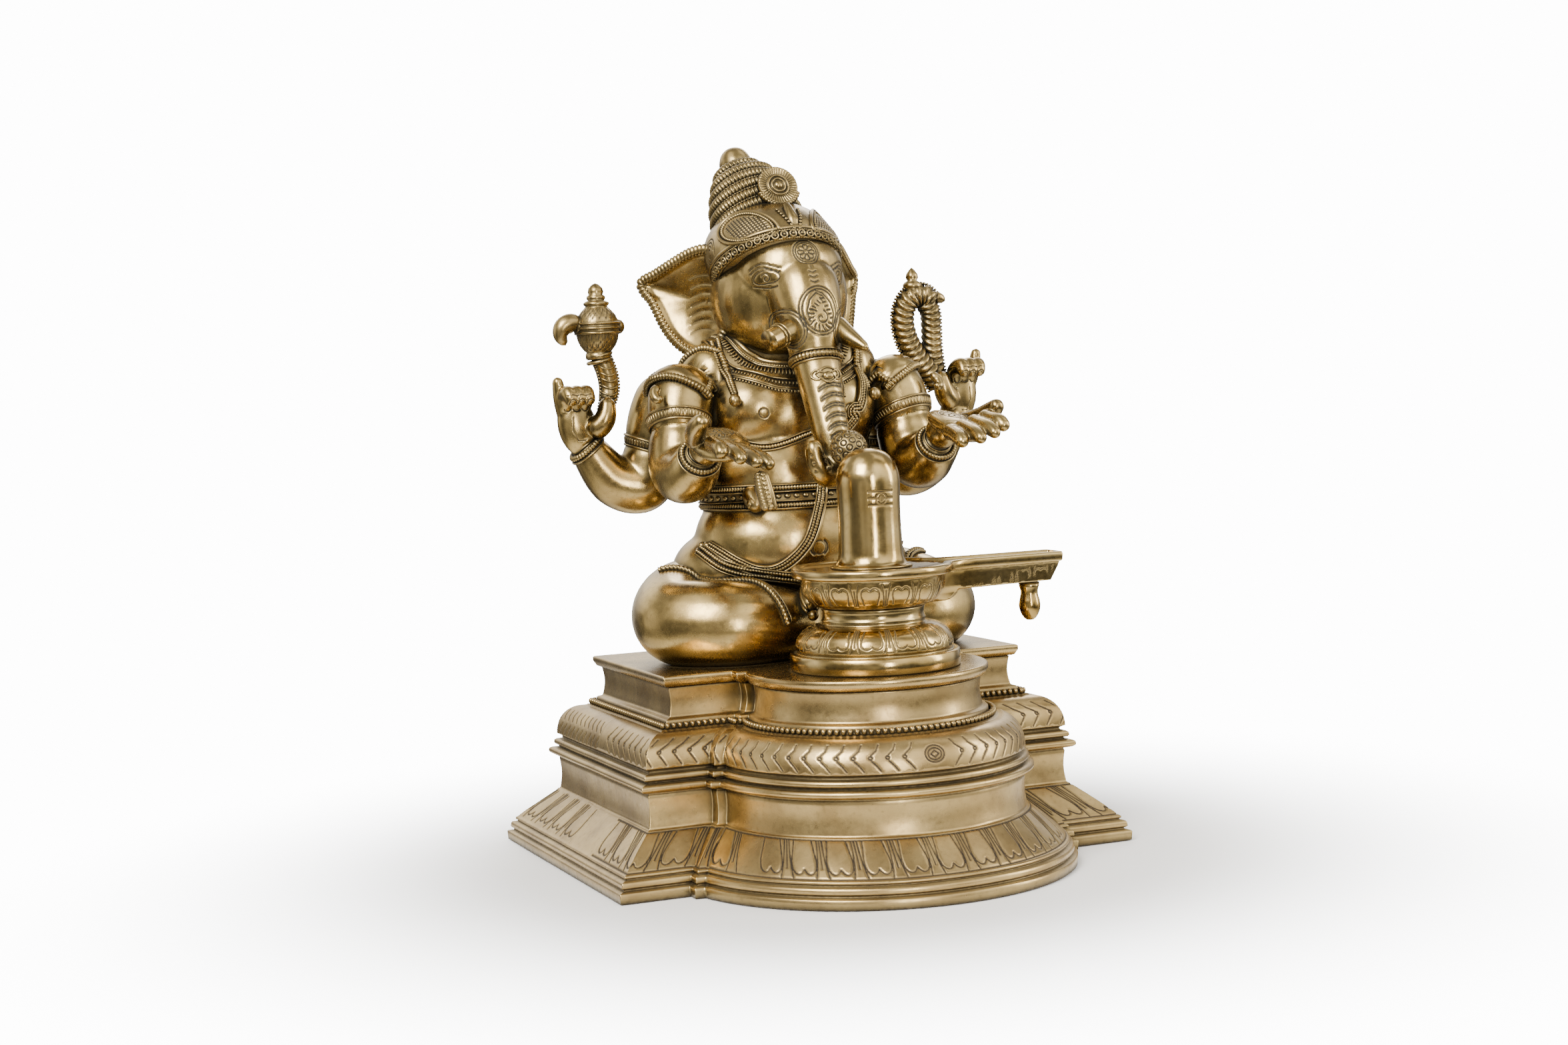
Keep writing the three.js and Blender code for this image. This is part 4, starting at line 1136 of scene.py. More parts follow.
arm_skins = {}
for side, sign in (("left", 1), ("right", -1)):
    lift = 7 if sign > 0 else 0
    for pair, upper, upper_radii, lower, lower_radii, elbow in (
            ("front", [(70, 70, 324), (80, 60, 302), (84, 52, 276)], [25, 22, 20],
             [(81, 57, 298), (86, 47, 262), (86, 28, 260), (85, 4, 275)], [20, 21, 19, 13],
             ((83, 56, 284), (3, -7, -16))),
            ("rear", [(70, 86, 322), (84, 90, 298), (92, 92, 266)], [23, 21, 19],
             [(88, 92, 288), (97, 93, 252), (116, 94, 254), (141, 92, 284)], [19, 20, 18, 11],
             ((90, 91, 278), (6, 2, -20)))):
        whole = cast(f"{side}_{pair}_arm", [limb(to_side(sign, upper), upper_radii),
                                            limb(to_side(sign, lower), lower_radii)], grain=1.2, easing=10)
        arm_skins[side, pair] = skin_of(whole)
        top, low = whole, whole.copy()
        point, way = to_side(sign, elbow)
        cut_off(top, point, way)
        cut_off(low, point, [-a for a in way])
        piece(f"{side}_{pair}_upper_arm_casting", top, figure_brass, "statue", "figure_brass",
              f"{side}_{pair}_upper_arm")
        piece(f"{side}_{pair}_forearm_casting", low, figure_brass, "statue", "figure_brass",
              f"{side}_{pair}_forearm")

    # Front hand: open and palm up, fingers a little curled, thumb out.
    palm = (84 * sign, -24, 279 + lift / 2)
    parts = [ball(palm, (17, 31, 7.5), (14, 14 * sign, 0)),
             limb(to_side(sign, [(85, 8, 275), (85, -4, 277 + lift / 3), (84, -14, 279 + lift / 2)]),
                  [12, 11.5, 10])]
    for k, spread in enumerate((-14, -5, 4, 13)):
        longer = (0, 4, 3, -2)[k]
        finger = [(84 + spread * 0.9, -40, 277 + spread * 0.3 + lift),
                  (84 + spread, -50, 276 + spread * 0.3 + lift),
                  (84 + spread * 1.1, -64 - longer * 0.5, 273 + spread * 0.35 + lift),
                  (84 + spread * 1.2, -75 - longer + abs(spread) * 0.3, 268.5 + spread * 0.3 + lift)]
        parts.append(limb(to_side(sign, finger), [6.2, 5.2, 5.0, 3.6]))
    parts.append(limb(to_side(sign, [(92, -8, 281), (101, -26, 287), (104, -40, 292), (104, -51, 297)]),
                      [9, 7, 6.4, 4.2]))
    hand = cast(f"{side}_front_hand", parts, grain=0.8, easing=5)
    hand_skin = skin_of(hand)
    blossom = [ring(2.0), ring(9.5, count=24)]
    for k in range(8):
        turn = 2 * math.pi * k / 8
        blossom.append([(9 * f * math.cos(turn + a), 9 * f * math.sin(turn + a)) for a, f in
                        ((-0.35, 0.35), (-0.3, 0.7), (0, 1.0), (0.3, 0.7), (0.35, 0.35))])
    blossom.append([(-14, -13), (-6, -16), (4, -15), (12, -12)])
    blossom.append([(-13, 14), (-4, 16), (6, 15), (13, 12)])
    cuts = stamp(hand_skin, (palm[0], palm[1], palm[2] + 6), (0.1 * -sign, 0.15, 1), blossom, up=(0, -1, 0))
    for k, spread in enumerate((-14, -5, 4, 13)):
        for y in (-49, -60):
            x = sign * (84 + spread * (1.0 + 0.1 * (y < -55)))
            cuts += stamp(hand_skin, (x, y, 282 + lift), (0, 0.2, 1), [[(-4.5, 0), (0, 0.8), (4.5, 0)]],
                          up=(0, -1, 0))
    engrave(hand, cuts, width=0.8, depth=0.4, rounds=1)
    piece(f"{side}_front_hand_casting", hand, figure_brass, "statue", "figure_brass", f"{side}_front_hand")

    # Rear hand: raised, two fingers folded over the thumb side, the little finger straight.
    heel = (143 * sign, 90, 293 + lift)
    parts = [ball(heel, (13.5, 9, 21), (0, 12 * sign, 0)),
             limb(to_side(sign, [(137, 93, 277), (140, 92, 285), (142, 91, 292 + lift)]), [11.5, 11.5, 11])]
    for k in range(3):
        folded = [(138 + k * 6.4, 89, 303 + lift), (139 + k * 6.6, 84, 313 + lift),
                  (140 + k * 6.2, 76, 315 + lift),
                  (139 + k * 5.8, 70.5, 307 + lift)]
        parts.append(limb(to_side(sign, folded), [6, 5.6, 5.4, 4.0]))
    parts.append(limb(to_side(sign, [(150, 91, 298 + lift), (154.5, 88, 312 + lift), (157, 86, 327 + lift)]),
                      [6, 5, 3.2]))
    parts.append(limb(to_side(sign, [(136, 84, 287 + lift), (127, 79, 297 + lift), (124, 79, 312 + lift)]),
                      [8.5, 7.5, 4.8]))
    hand = cast(f"{side}_rear_hand", parts, grain=0.8, easing=4)
    hand_skin = skin_of(hand)
    cuts = stamp(hand_skin, (143 * sign, 76, 293 + lift), (0, -1, 0.1),
                 [[(-5, 7), (-5.5, -2), (-2, -9), (3, -9), (5.5, -2), (5, 7)]])
    for k in range(3):
        cuts += stamp(hand_skin, ((139 + k * 6.2) * sign, 72, 308 + lift), (0, -1, 0.2),
                      [ring(2.6, count=14), [(-3.6, 5.2), (0, 6), (3.6, 5.2)]])
    engrave(hand, cuts, width=0.8, depth=0.45, rounds=1)
    piece(f"{side}_rear_hand_casting", hand, figure_brass, "statue", "figure_brass", f"{side}_rear_hand")


# ---- Ears and tusks ----
# The ears are separate dished castings brazed behind the cheeks, with a rolled rim cut in short ticks and a
# rippled bowl that catches the light. The right tusk is the broken one of the legend, and is sawn off flat.
chased = brass("chased_cast_brass", bright="#baa06a", dull="#8c774b", patina="#1c1810", gloss=0.25, patina_and_shade=1.4,
               stain=[("#4f7f78", (-12, 110, 461), 9)])
ear_rim = [(-3, -19), (-4.5, 4), (-3, 22), (2, 32), (12, 37.5), (25, 36), (40, 30), (56, 22.5), (70, 16),
           (68, 9.5),
           (62, 3), (57.5, -5), (53, -14), (46, -24), (36, -33), (23, -38), (9, -35), (-3, -19)]
ear_middle = np.array([19.0, 0.0])


def ear_point(sign, outward, up, deep):
    """A point of an ear: distance out from the head, height about the ear's middle.

    And depth behind its face.
    """
    lean = 0.6, 0.8
    x = 40 + outward * lean[0] - deep * 0.8
    return sign * x, 72 + outward * lean[1] + deep * 0.6, 374 + up


for side, sign in (("left", 1), ("right", -1)):
    rim = smooth_line([(u, v, 0) for u, v in ear_rim], 1.1)[:-1, :2]
    rings = []
    front_rows = [(f, 8.0 * math.cos(f / 0.82 * math.pi / 2) ** 0.7 + 0.3) for f in np.linspace(0.04, 0.82,
            30)]
    front_rows += [(0.835, -0.6), (0.86, -1.6), (0.9, -2.0), (0.94, -1.7), (0.97, -0.8), (1.0, 0.9)]
    back_rows = [(1.0, 2.4), (0.97, 3.6), (0.9, 5.2), (0.8, 6.6), (0.6, 9.0), (0.4, 10.8), (0.2, 11.8),
                 (0.04, 12.0)]
    for share, deep in front_rows + back_rows:
        loop = []
        for u, v in rim:
            at = ear_middle + (np.array([u, v]) - ear_middle) * share
            ripple = 0.0
            if deep < 9 and share < 0.8 and (share, deep) in front_rows:
                curved = at[1] + (at[0] - 20) ** 2 / 42
                inside = max(0.0, 1 - ((at[0] - 20) / 15) ** 2) * max(0.0, 1 - ((at[1] + 2) / 24) ** 2)
                ripple = 0.9 * inside * abs(math.sin(math.pi * curved / 6.2)) ** 0.7
            loop.append(ear_point(sign, at[0], at[1], deep - ripple))
        rings.append(loop)
    ear = to_mesh(f"{side}_ear", sweep(rings))
    dark_lines = []
    for k in range(7):
        level_at = -19 + k * 6.2
        curve_line = []
        for u in np.linspace(9, 31, 12):
            v = level_at - (u - 20) ** 2 / 42
            far = math.hypot(*(np.array([u, v]) - ear_middle)) / 30
            curve_line.append(ear_point(sign, u, v, 8.0 * math.cos(min(far, 1) * math.pi / 2) ** 0.7 + 0.3))
        dark_lines.append(curve_line)
    engrave(ear, dark_lines, width=0.9, depth=0.3, rounds=1, dark=0.75)
    piece(f"{side}_ear_casting", ear, figure_brass, "statue", "figure_brass", f"{side}_ear")
    trim = []
    out_way = (sign * 0.8, -0.6, 0)
    edge = np.array([(*ear_point(sign, *(ear_middle + (np.array(p) - ear_middle) * 0.94), -1.2), *out_way)
                     for p in rim])
    trim.append(cord(edge, 3.6, 2.6, pitch=3.0, deep=0.3, sides=14, taper=False))
    inner_line = [(*ear_point(sign, -2.5, v, -1.6), *out_way) for v in np.linspace(-22, 26, 20)]
    trim.append(bead_row(inner_line, 4.2, (1.9, 1.9, 1.9)))
    for u, v in ((0, 31), (4, 35.5), (-4, 35)):
        trim.append(round_bead(np.array(ear_point(sign, u, v, -2.5)), (3.4, 3.4, 3.4), np.eye(3), 12, 8))
    piece(f"{side}_ear_trim", merge(trim), chased, "statue", "chased_brass")

stub = limb([(-10, 17, 353), (-18, 13, 350), (-27, 9.5, 347), (-44, 2, 341)], [9.0, 8.4, 7.4, 7.0], step=0.8)
stub_mesh = cast("right_tusk", [stub], grain=0.6, easing=2)
stub_way = Vector((-0.86, -0.38, -0.33))
stub_skin = skin_of(stub_mesh)
cut_off(stub_mesh, (-34.5, 6.2, 344.4), stub_way)
piece("right_tusk_stub", stub_mesh, figure_brass, "statue", "figure_brass", "right_tusk")
root_rings = [cord(girdle(stub_skin, (-24.0 - k * 2.4, 10.6 - k * 1.0, 348.0 - k * 0.8), stub_way, reach=12,
                          count=40),
                   1.0, 1.2, taper=False) for k in range(2)]
piece("right_tusk_rings", merge(root_rings), figure_brass, "statue", "figure_brass")
point_tusk = [limb([(15, 18, 354), (17, 14, 352), (21, 2, 345), (24.5, -6, 340.5), (27.6, -13, 336.4)],
                   [8.6, 8.2, 6.4, 4.4, 2.0], step=0.8)]
piece("left_tusk_point", cast("left_tusk", point_tusk, 0.6, 2), figure_brass, "statue", "figure_brass",
      "left_tusk")


# ---- Crown ----
# The tall crown of coiled hair is one lost-wax casting in four parts: a cap with a studded rim and net
# panels, ribbed coils divided by twisted cords, a shell-shaped fan in front, and a plain dome on top, gone
# green below.
def spun(profile, centre, axis, sides=48, flutes=0, deep=0.0, zone=(0.0, 0.0)):
    """A turned piece on any axis, from [radius, height] points.

    Flutes are cut where the radius is in the zone.
    """
    turn_to = Vector((0, 0, 1)).rotation_difference(Vector(axis))
    loops = []
    for radius, height_at in profile:
        loop = []
        for k in range(sides):
            turn = 2 * math.pi * k / sides
            fluted = flutes and zone[0] <= radius <= zone[1]
            cut = deep * abs(math.cos(flutes * turn / 2)) ** 5 if fluted else 0.0
            spot = Vector((max(radius, 0.02) * math.cos(turn), max(radius, 0.02) * math.sin(turn),
                           height_at - cut))
            loop.append(tuple(Vector(centre) + turn_to @ spot))
        loops.append(loop)
    return sweep(loops)


def raised_studs(rows, pitch, radius, high):
    """Round studs along a line, each with a ring and a dot on it."""
    places, _ = along(rows, pitch)
    made = []
    profile = [(0.02, -0.5), (radius, -0.5), (radius, high * 0.55), (radius * 0.84, high),
               (radius * 0.66, high),
               (radius * 0.5, high * 0.45), (radius * 0.36, high * 0.5), (radius * 0.22, high * 1.05),
               (0.02, high * 1.15)]
    for place in places:
        made.append(spun(profile, place[:3], place[3:6], sides=14))
    return merge(made)


cap = cast("crown", [ball((-4, 73, 405), (45.5, 53.5, 35.5))], grain=1.1, easing=4)
cap_skin = skin_of(cap)
rim_axis = (0, 0.444, 0.896)
rim_middle = (-4, 78, 384.2)
hatch = []
panel_rows = []
for sign in (-1, 1):
    look = (sign * 0.66, -0.52, 0.55)
    spot = (-4 + sign * 27, 47, 419)

    def panel(scale):
        """The oval of a net panel, a little pinched towards the front."""
        return [(21 * scale * math.cos(t) - sign * 2.0,
                 11.5 * scale * math.sin(t) * (1 - 0.22 * sign * -math.cos(t))
                 + 2.5 * math.cos(t) * sign) for t in np.linspace(0, 2 * math.pi, 40)]

    for scale, kind in ((1.14, "plain"), (0.98, "ribbed")):
        drawn_line = stamp(cap_skin, spot, look, [panel(scale)])[0]
        panel_rows.append((kind, lay(cap_skin, drawn_line, step=2.0)))
    for direction in (0.6, -0.75):
        for k in range(-12, 13):
            offset = k * 2.3
            stroke = []
            for f in np.linspace(-26, 26, 50):
                x = f * math.cos(direction) - offset * math.sin(direction)
                y = f * math.sin(direction) + offset * math.cos(direction)
                u, v = (x + sign * 2.0) / (21 * 0.84), (y - 2.5 * sign * (x / 21)) / (11.5 * 0.84)
                if u * u + v * v < 1:
                    stroke.append((x, y))
            if len(stroke) > 2:
                hatch += stamp(cap_skin, spot, look, [stroke])
    side_spot = (-4 + sign * 41, 72, 404)
    for k in range(4):
        hatch += stamp(cap_skin, side_spot, (sign, -0.05, 0.25),
                       [[((8 - 2 * k) * math.cos(t), (10.5 - 2.6 * k) * math.sin(t)) for t in
                         np.linspace(0.4 * k, 5.6, 20)]])
for k in range(60):
    turn = 10 + k * 2.75
    hatch.append(girdle(cap_skin, (-4, 78, 404),
                        (math.cos(math.radians(turn)), math.sin(math.radians(turn)), 0),
                        40, 66, count=4)[:, :3])
engrave(cap, [line for line in hatch if len(line) > 1], width=1.0, depth=0.5, rounds=1)
cut_off(cap, rim_middle, [-a for a in rim_axis])
piece("crown_cap", cap, chased, "statue", "chased_brass", "crown")
trim = []
for height_at, what in ((2.6, "studs"), (5.9, "cord"), (0.2, "cord"), (8.3, "rim")):
    rows = girdle(cap_skin, Vector(rim_middle) + Vector(rim_axis) * height_at, rim_axis, count=110)
    if what == "studs":
        trim.append(raised_studs(rows, 6.0, 3.0, 2.4))
    elif what == "cord":
        trim.append(cord(rows, 0.9, 1.3, pitch=1.7, deep=0.35))
    else:
        trim.append(cord(rows, 1.5, 1.2))
for kind, rows in panel_rows:
    trim.append(cord(rows, 1.5, 1.9) if kind == "plain" else cord(rows, 1.2, 1.5, pitch=1.8, deep=0.35))
drop = [(-4, 27, 417), (-4, 31, 424), (-4, 36, 431), (-4, 43, 437)]
trim.append(limb(drop, [2.2, 4.6, 3.4, 2.4], sides=14))
trim.append(bead_row(lay(cap_skin, [(-12, 40, 434), (-9, 31, 424), (-4, 25, 416), (1, 31, 424), (4, 40, 434)],
                         0.4), 3.0,
                     (1.3, 1.3, 1.4)))
piece("crown_rim_and_borders", merge(trim), chased, "statue", "chased_brass")

coil_foot, coil_top = Vector((-5, 82, 419)), Vector((-12, 109, 465))
coil_axis = (coil_top - coil_foot).normalized()
core = cast("crown_coils", [limb([(-4, 74, 398), (-8, 88, 430), (-10, 96, 446), (-12, 104, 459),
                                  (-13, 110, 471)],
                                 [31, 29, 25, 17.5, 8])], grain=1.3, easing=3)
core_skin = skin_of(core)
coils = []
tiers = 6
for k in range(tiers):
    share = 0.16 + 0.75 * k / (tiers - 1)
    centre = coil_foot.lerp(coil_top, share)
    rows = girdle(core_skin, centre, coil_axis, lift=0.4, count=100)
    coils.append(cord(rows, 3.9, 3.6, pitch=2.5, deep=0.3, slant=0.5, sides=12, taper=False))
    rows = girdle(core_skin, centre + coil_axis * 4.2, coil_axis, lift=0.3, count=100)
    coils.append(cord(rows, 0.9, 1.7, pitch=1.8, deep=0.35, slant=1.0, sides=8, taper=False))
piece("crown_coil_core", core, chased, "statue", "chased_brass", "crown_coils")
piece("crown_coil_ribs", merge(coils), chased, "statue", "chased_brass")

fan_axis = (0.0, -0.92, 0.39)
fan_profile = [(0.02, -2.5), (13.6, -2.5), (14.2, -1.0), (14.0, 0.8), (13.2, 1.5)]
fan_profile += [(r, 1.4 - 0.8 * math.sin((13.0 - r) / 4.5 * math.pi / 2)) for r in np.linspace(12.6, 8.6, 8)]
fan_profile += [(8.3, 0.2), (7.9, 1.4), (7.2, 1.9), (6.6, 1.4), (6.3, 0.5), (5.8, 0.5), (5.4, 1.6),
                (4.7, 2.2),
                (4.1, 1.7), (3.8, 0.9), (3.2, 0.9), (2.8, 1.8), (1.9, 2.7), (0.02, 3.1)]
fan = spun(fan_profile, (-2, 59, 450), fan_axis, sides=156, flutes=39, deep=0.8, zone=(8.4, 13.3))
fan_rows = [(-2 + 15.0 * math.cos(t), 60 + 15.0 * math.sin(t) * 0.39, 450.5 + 15.0 * math.sin(t) * 0.92,
             *fan_axis)
            for t in np.linspace(3.5, 5.92, 30)]
piece("crown_fan_disc", merge([fan, cord(np.array(fan_rows), 1.8, 2.0, pitch=2.0, deep=0.3)]), chased,
      "statue",
      "chased_brass", "crown_fan")
dome_profile = [(0.02, -6.5), (9.0, -6.5), (10.8, -5.2), (11.5, -2.6), (11.3, 0.4), (10.2, 3.6), (8.6, 6.4),
                (6.2, 8.6),
                (3.4, 9.9), (0.02, 10.3)]
dome_rows = smooth_line([(r, h, 0) for r, h in dome_profile[1:]], 0.8)[:, :2]
piece("crown_finial_dome", spun([(0.02, -6.5)] + [tuple(p) for p in dome_rows], (-12.8, 110, 470.5),
                                (-0.1, 0.25, 0.96)),
      chased, "statue", "chased_brass", "crown_finial")


# ---- Jewellery, belt and cords ----
# All cast with the figure or soldered on as twisted wire and bead strips, then chased: ribbed cords about
# 2 mm to a rib, plain border wires, rows of studs. They hold the most patina and the darkest painted shade,
# with only their tops rubbed bright.
band_rows = girdle(head_skin, band_at, band_axis, count=80, reach=40)
band = [cord(band_rows, 2.6, 2.6, pitch=2.5, deep=0.28, slant=0.8, sides=12, taper=False)]
for offset in (-3.4, 3.2):
    band.append(cord(girdle(head_skin, Vector(band_at) + Vector(band_axis).normalized() * offset, band_axis,
                            count=80, reach=40), 0.9, 1.3, taper=False))
for sign in (-1, 1):
    curl = [(1 + sign * 3, -6, 322), (1 + sign * 8, -4.5, 324), (1 + sign * 10, -2, 319.5),
            (1 + sign * 6, -5, 317),
            (1 + sign * 4, -6, 320)]
    band.append(cord(lay(head_skin, curl, step=0.8), 0.9, 1.1))
eye_at = lay(head_skin, [(-3, -6, 321), (1, -7, 320), (5, -6, 321)], 0.2)
band.append(bead_row(eye_at[len(eye_at) // 2 - 1:len(eye_at) // 2 + 2], 20, (4.2, 2.9, 1.8)))
band.append(cord(lay(head_skin, [(-7, -4, 321), (1, -5, 325.5), (9, -4, 321), (1, -8, 315.5), (-7, -4, 321)],
                     step=0.8),
                 0.8, 1.0))
for reach_out in (15, 18):
    hanging = [(reach_out - 2, 22, 332), (reach_out - 1, 14, 324), (reach_out - 4, 4, 314),
               (reach_out - 6, -3, 305)]
    band.append(cord(lay(head_skin, hanging, 0.2), 1.0, 1.3, pitch=1.8, deep=0.35))
piece("trunk_rope_band", merge(band), chased, "statue", "chased_brass", "trunk_band")

flower_at = (0, -38, 272)
flower = cast("flower_ball", [ball(flower_at, (12.4, 12.4, 12.4))], grain=0.7, easing=2)
flower_skin = skin_of(flower)
punches = []
golden = math.pi * (3 - math.sqrt(5))
for k in range(64):
    z = 1 - 2 * (k + 0.5) / 64
    flat_reach = math.sqrt(1 - z * z)
    way = (flat_reach * math.cos(golden * k), flat_reach * math.sin(golden * k), z)
    punches += stamp(flower_skin, flower_at, way, [ring(2.0, count=12)], up=(0.1, 0.2, 1))
engrave(flower, punches, width=0.9, depth=0.6, rounds=1)
piece("flower_ball_punched", flower, chased, "statue", "chased_brass", "flower_ball")

body_skin = skin_of(torso_mesh, legs_mesh)


def neck_line(grow, low, high, step=1.5):
    """A closed line round the neck on the chest and back: its reach, and its heights in front and behind."""
    points = [((35 + grow) * math.sin(t), 76 - (37 + grow * 0.8) * math.cos(t),
               (low + high) / 2 - (high - low) / 2 * math.cos(t)) for t in np.linspace(-math.pi, math.pi, 33)]
    return lay(torso_skin, points, 0.3, step)


collar = []
collar_rows = ((0, 333, 350, "plain", 2.0, 1.5), (3, 329.5, 349, "cord", 0.9, 1.1),
               (6.5, 324.5, 347, "ticks", 0.8, 3.0),
               (10.5, 319.6, 344, "plain", 0.9, 1.2), (13, 316.5, 342, "ticks", 0.7, 1.6),
               (15, 313.6, 340, "plain", 0.8, 1.1),
               (17, 311.2, 338, "beads", 1.0, 1.1))
for grow, low, high, kind, first, second in collar_rows:
    rows = neck_line(grow, low, high)
    if kind == "plain":
        collar.append(cord(rows, first, second, taper=False))
    elif kind == "cord":
        collar.append(cord(rows, first, second, pitch=1.7, deep=0.35, taper=False))
    elif kind == "ticks":
        collar.append(bead_row(rows, 2.4, (first, second, 1.7)))
    else:
        collar.append(bead_row(rows, 2.3, (first, second, 1.1)))
for grow, low, high in ((1.5, 331, 349), (8, 322, 345), (14, 315, 341)):
    collar.append(cord(neck_line(grow, low, high), 4.5, 0.25, sides=6, taper=False))
piece("collar_rows", merge(collar), chased, "statue", "chased_brass", "collar")

belt = []
belt_skin = skin_of(torso_mesh)
for z, wide, kind in ((246.2, 1.9, "cord"), (234.0, 1.9, "cord"), (240.1, 2.2, "studs"), (243.6, 0.8, "rim"),
                      (236.7, 0.8, "rim"), (248.4, 0.7, "rim"), (231.8, 0.7, "rim")):
    rows = girdle(belt_skin, (0, 72, z), (0, 0, 1), lift=0.5, count=120)
    if kind == "cord":
        belt.append(cord(rows, wide, 2.3, pitch=2.0, deep=0.35, taper=False))
    elif kind == "rim":
        belt.append(cord(rows, wide, 1.6, taper=False))
    else:
        belt.append(bead_row(rows, 6.2, (2.3, 1.9, 1.9)))
belt.append(cord(girdle(belt_skin, (0, 72, 240), (0, 0, 1), count=120), 5.6, 0.8, sides=6, taper=False))
knot = [limb([(-42, 34, 247), (-43, 28, 240), (-41, 20, 232)], [5.0, 6.4, 4.6], sides=20)]
for k in range(5):
    turn = -2.4 + k * 0.8
    knot.append(limb([(-42, 27, 242), (-42 + 5 * math.cos(turn), 24, 242 + 6 * math.sin(turn)),
                      (-42 + 8.5 * math.cos(turn), 22, 240 + 9 * math.sin(turn))], [2.2, 2.8, 1.7], sides=10))
piece("waist_belt_rows", merge(belt + knot), chased, "statue", "chased_brass", "waist_belt")


def patch(skin, centre, out, outline2d, thick, up=(0, 0, 1)):
    """A thin raised plate that follows a skin inside a flat outline."""
    out_way = Vector(out).normalized()
    up_way = (Vector(up) - out_way * out_way.dot(Vector(up))).normalized()
    right = up_way.cross(out_way)

    def spot(x, y, above):
        hit, normal, _, _ = skin.ray_cast(Vector(centre) + right * x + up_way * y + out_way * 40, -out_way,
                                          90)
        if hit is None:
            hit, normal, _, _ = skin.find_nearest(Vector(centre) + right * x + up_way * y)
        return tuple(hit + normal * above)

    shares = [0.03, 0.2, 0.4, 0.6, 0.75, 0.88, 0.96, 1.0]
    loops = [[spot(x * f, y * f, thick * math.sqrt(1 - f ** 6) if f < 1 else 0) for x,
              y in outline2d] for f in shares]
    loops += [[spot(x * f, y * f, -1.5) for x, y in outline2d] for f in (1.0, 0.5, 0.03)]
    edge = [spot(x, y, thick * 0.4) for x, y in outline2d]
    return sweep(loops), edge


for side, sign in (("left", 1), ("right", -1)):
    shoulder_shapes = cast(f"{side}_shoulder",
                           [limb(to_side(sign, [(70, 70, 324), (80, 60, 302), (84, 52, 276)]), [25, 22, 20]),
                                                limb([(0, 84, 330), (sign * 68, 78, 318)], [27, 25]),
                                                limb(to_side(sign, [(70, 86, 322), (84, 90, 298)]),
                                                     [23, 21])], 1.4, 12)
    shoulder_skin = skin_of(shoulder_shapes)
    bpy.data.meshes.remove(shoulder_shapes)
    shape = smooth_line([(sign * x, y, 0) for x,
                         y in ((-19, 17), (-6, 21), (10, 17), (23, 6), (29, -7), (20, -12), (8, -15),
                                                       (-8, -19), (-19, -19), (-25, -8), (-24, 6),
                               (-19, 17))], 1.6)[:-1, :2]
    plate, edge = patch(shoulder_skin, (sign * 74, 58, 329), (sign * 0.4, -0.62, 0.68), shape, 4.2)
    if sign < 0:
        edge = edge[::-1]
    rows = lay(shoulder_skin, edge + edge[:1], 2.4, 1.2)
    border = [cord(rows, 2.7, 2.7, pitch=2.3, deep=0.3), cord(beside(rows, -2.9, -0.6), 0.7, 1.1)]
    tip = to_side(sign, [(100, 44, 318), (104, 42, 313), (103, 38, 309), (99, 38, 310)])
    border.append(limb(tip, [3.0, 3.4, 3.0, 2.0], sides=14))
    piece(f"{side}_shoulder_cape_plate", plate, figure_brass, "statue", "chased_brass",
          f"{side}_shoulder_cape")
    for shift in (0, 4.6):
        hanging = to_side(sign, [(46 + shift, 70, 344), (51 + shift, 53, 338), (52 + shift * 0.7, 42, 325),
                                 (50 + shift * 0.5, 34, 311)])
        border.append(cord(lay(torso_skin, hanging, 1.0), 1.9, 2.3, pitch=1.9, deep=0.32))
    border.append(round_bead(np.array((sign * 51, 31, 306)), (4.2, 3.6, 4.4), np.eye(3), 16, 10))
    piece(f"{side}_shoulder_cords", merge(border), chased, "statue", "chased_brass")

    for name, pair, centre, axis, half_wide in (("front_armlet", "front", (82, 57, 291), (3, -7, -16), 3.4),
                                                ("rear_armlet", "rear", (91, 92, 277), (6, 2, -20), 3.4)):
        place, = to_side(sign, [centre])
        way, = to_side(sign, [axis])
        way = Vector(way).normalized()
        arm = arm_skins[side, pair]
        rows = girdle(arm, place, way, reach=30, count=70, lift=0.5)
        ringed = [bead_row(rows, 2.4, (0.9, half_wide - 0.5, 1.5)),
                  cord(rows, half_wide, 0.8, sides=8, taper=False)]
        for shift in (-half_wide, half_wide):
            ringed.append(cord(girdle(arm, Vector(place) + way * shift, way, reach=30, count=70, lift=0.4),
                               0.9, 1.4, taper=False))
        if pair == "rear":
            for k in range(3):
                share = 0.62 + 0.05 * k if sign > 0 else 0.78 - 0.05 * k
                at = rows[int(len(rows) * share)]
                ringed.append(round_bead(at[:3] + at[3:6] * 0.8, (3.4, 3.4, 3.4), np.eye(3), 12, 8))
        piece(f"{side}_{name}_rows", merge(ringed), chased, "statue", "chased_brass", f"{side}_{name}")
    for name, pair, centre, axis, wide in (("front_bracelet", "front", (85, 9, 271), (0, -18, 12), 2.0),
                                           ("rear_bracelet", "rear", (137, 93, 278), (18, -1, 22), 2.2)):
        place, = to_side(sign, [centre])
        way, = to_side(sign, [axis])
        way = Vector(way).normalized()
        arm = arm_skins[side, pair]
        rows = girdle(arm, place, way, reach=21, count=60, lift=0.6)
        ringed = [cord(rows, wide, 2.2, pitch=2.1, deep=0.32, taper=False)]
        for shift in (-wide - 0.8, wide + 0.8):
            ringed.append(cord(girdle(arm, Vector(place) + way * shift, way, reach=21, count=60, lift=0.4),
                               0.8, 1.3, taper=False))
        piece(f"{side}_{name}_rows", merge(ringed), chased, "statue", "chased_brass", f"{side}_{name}")

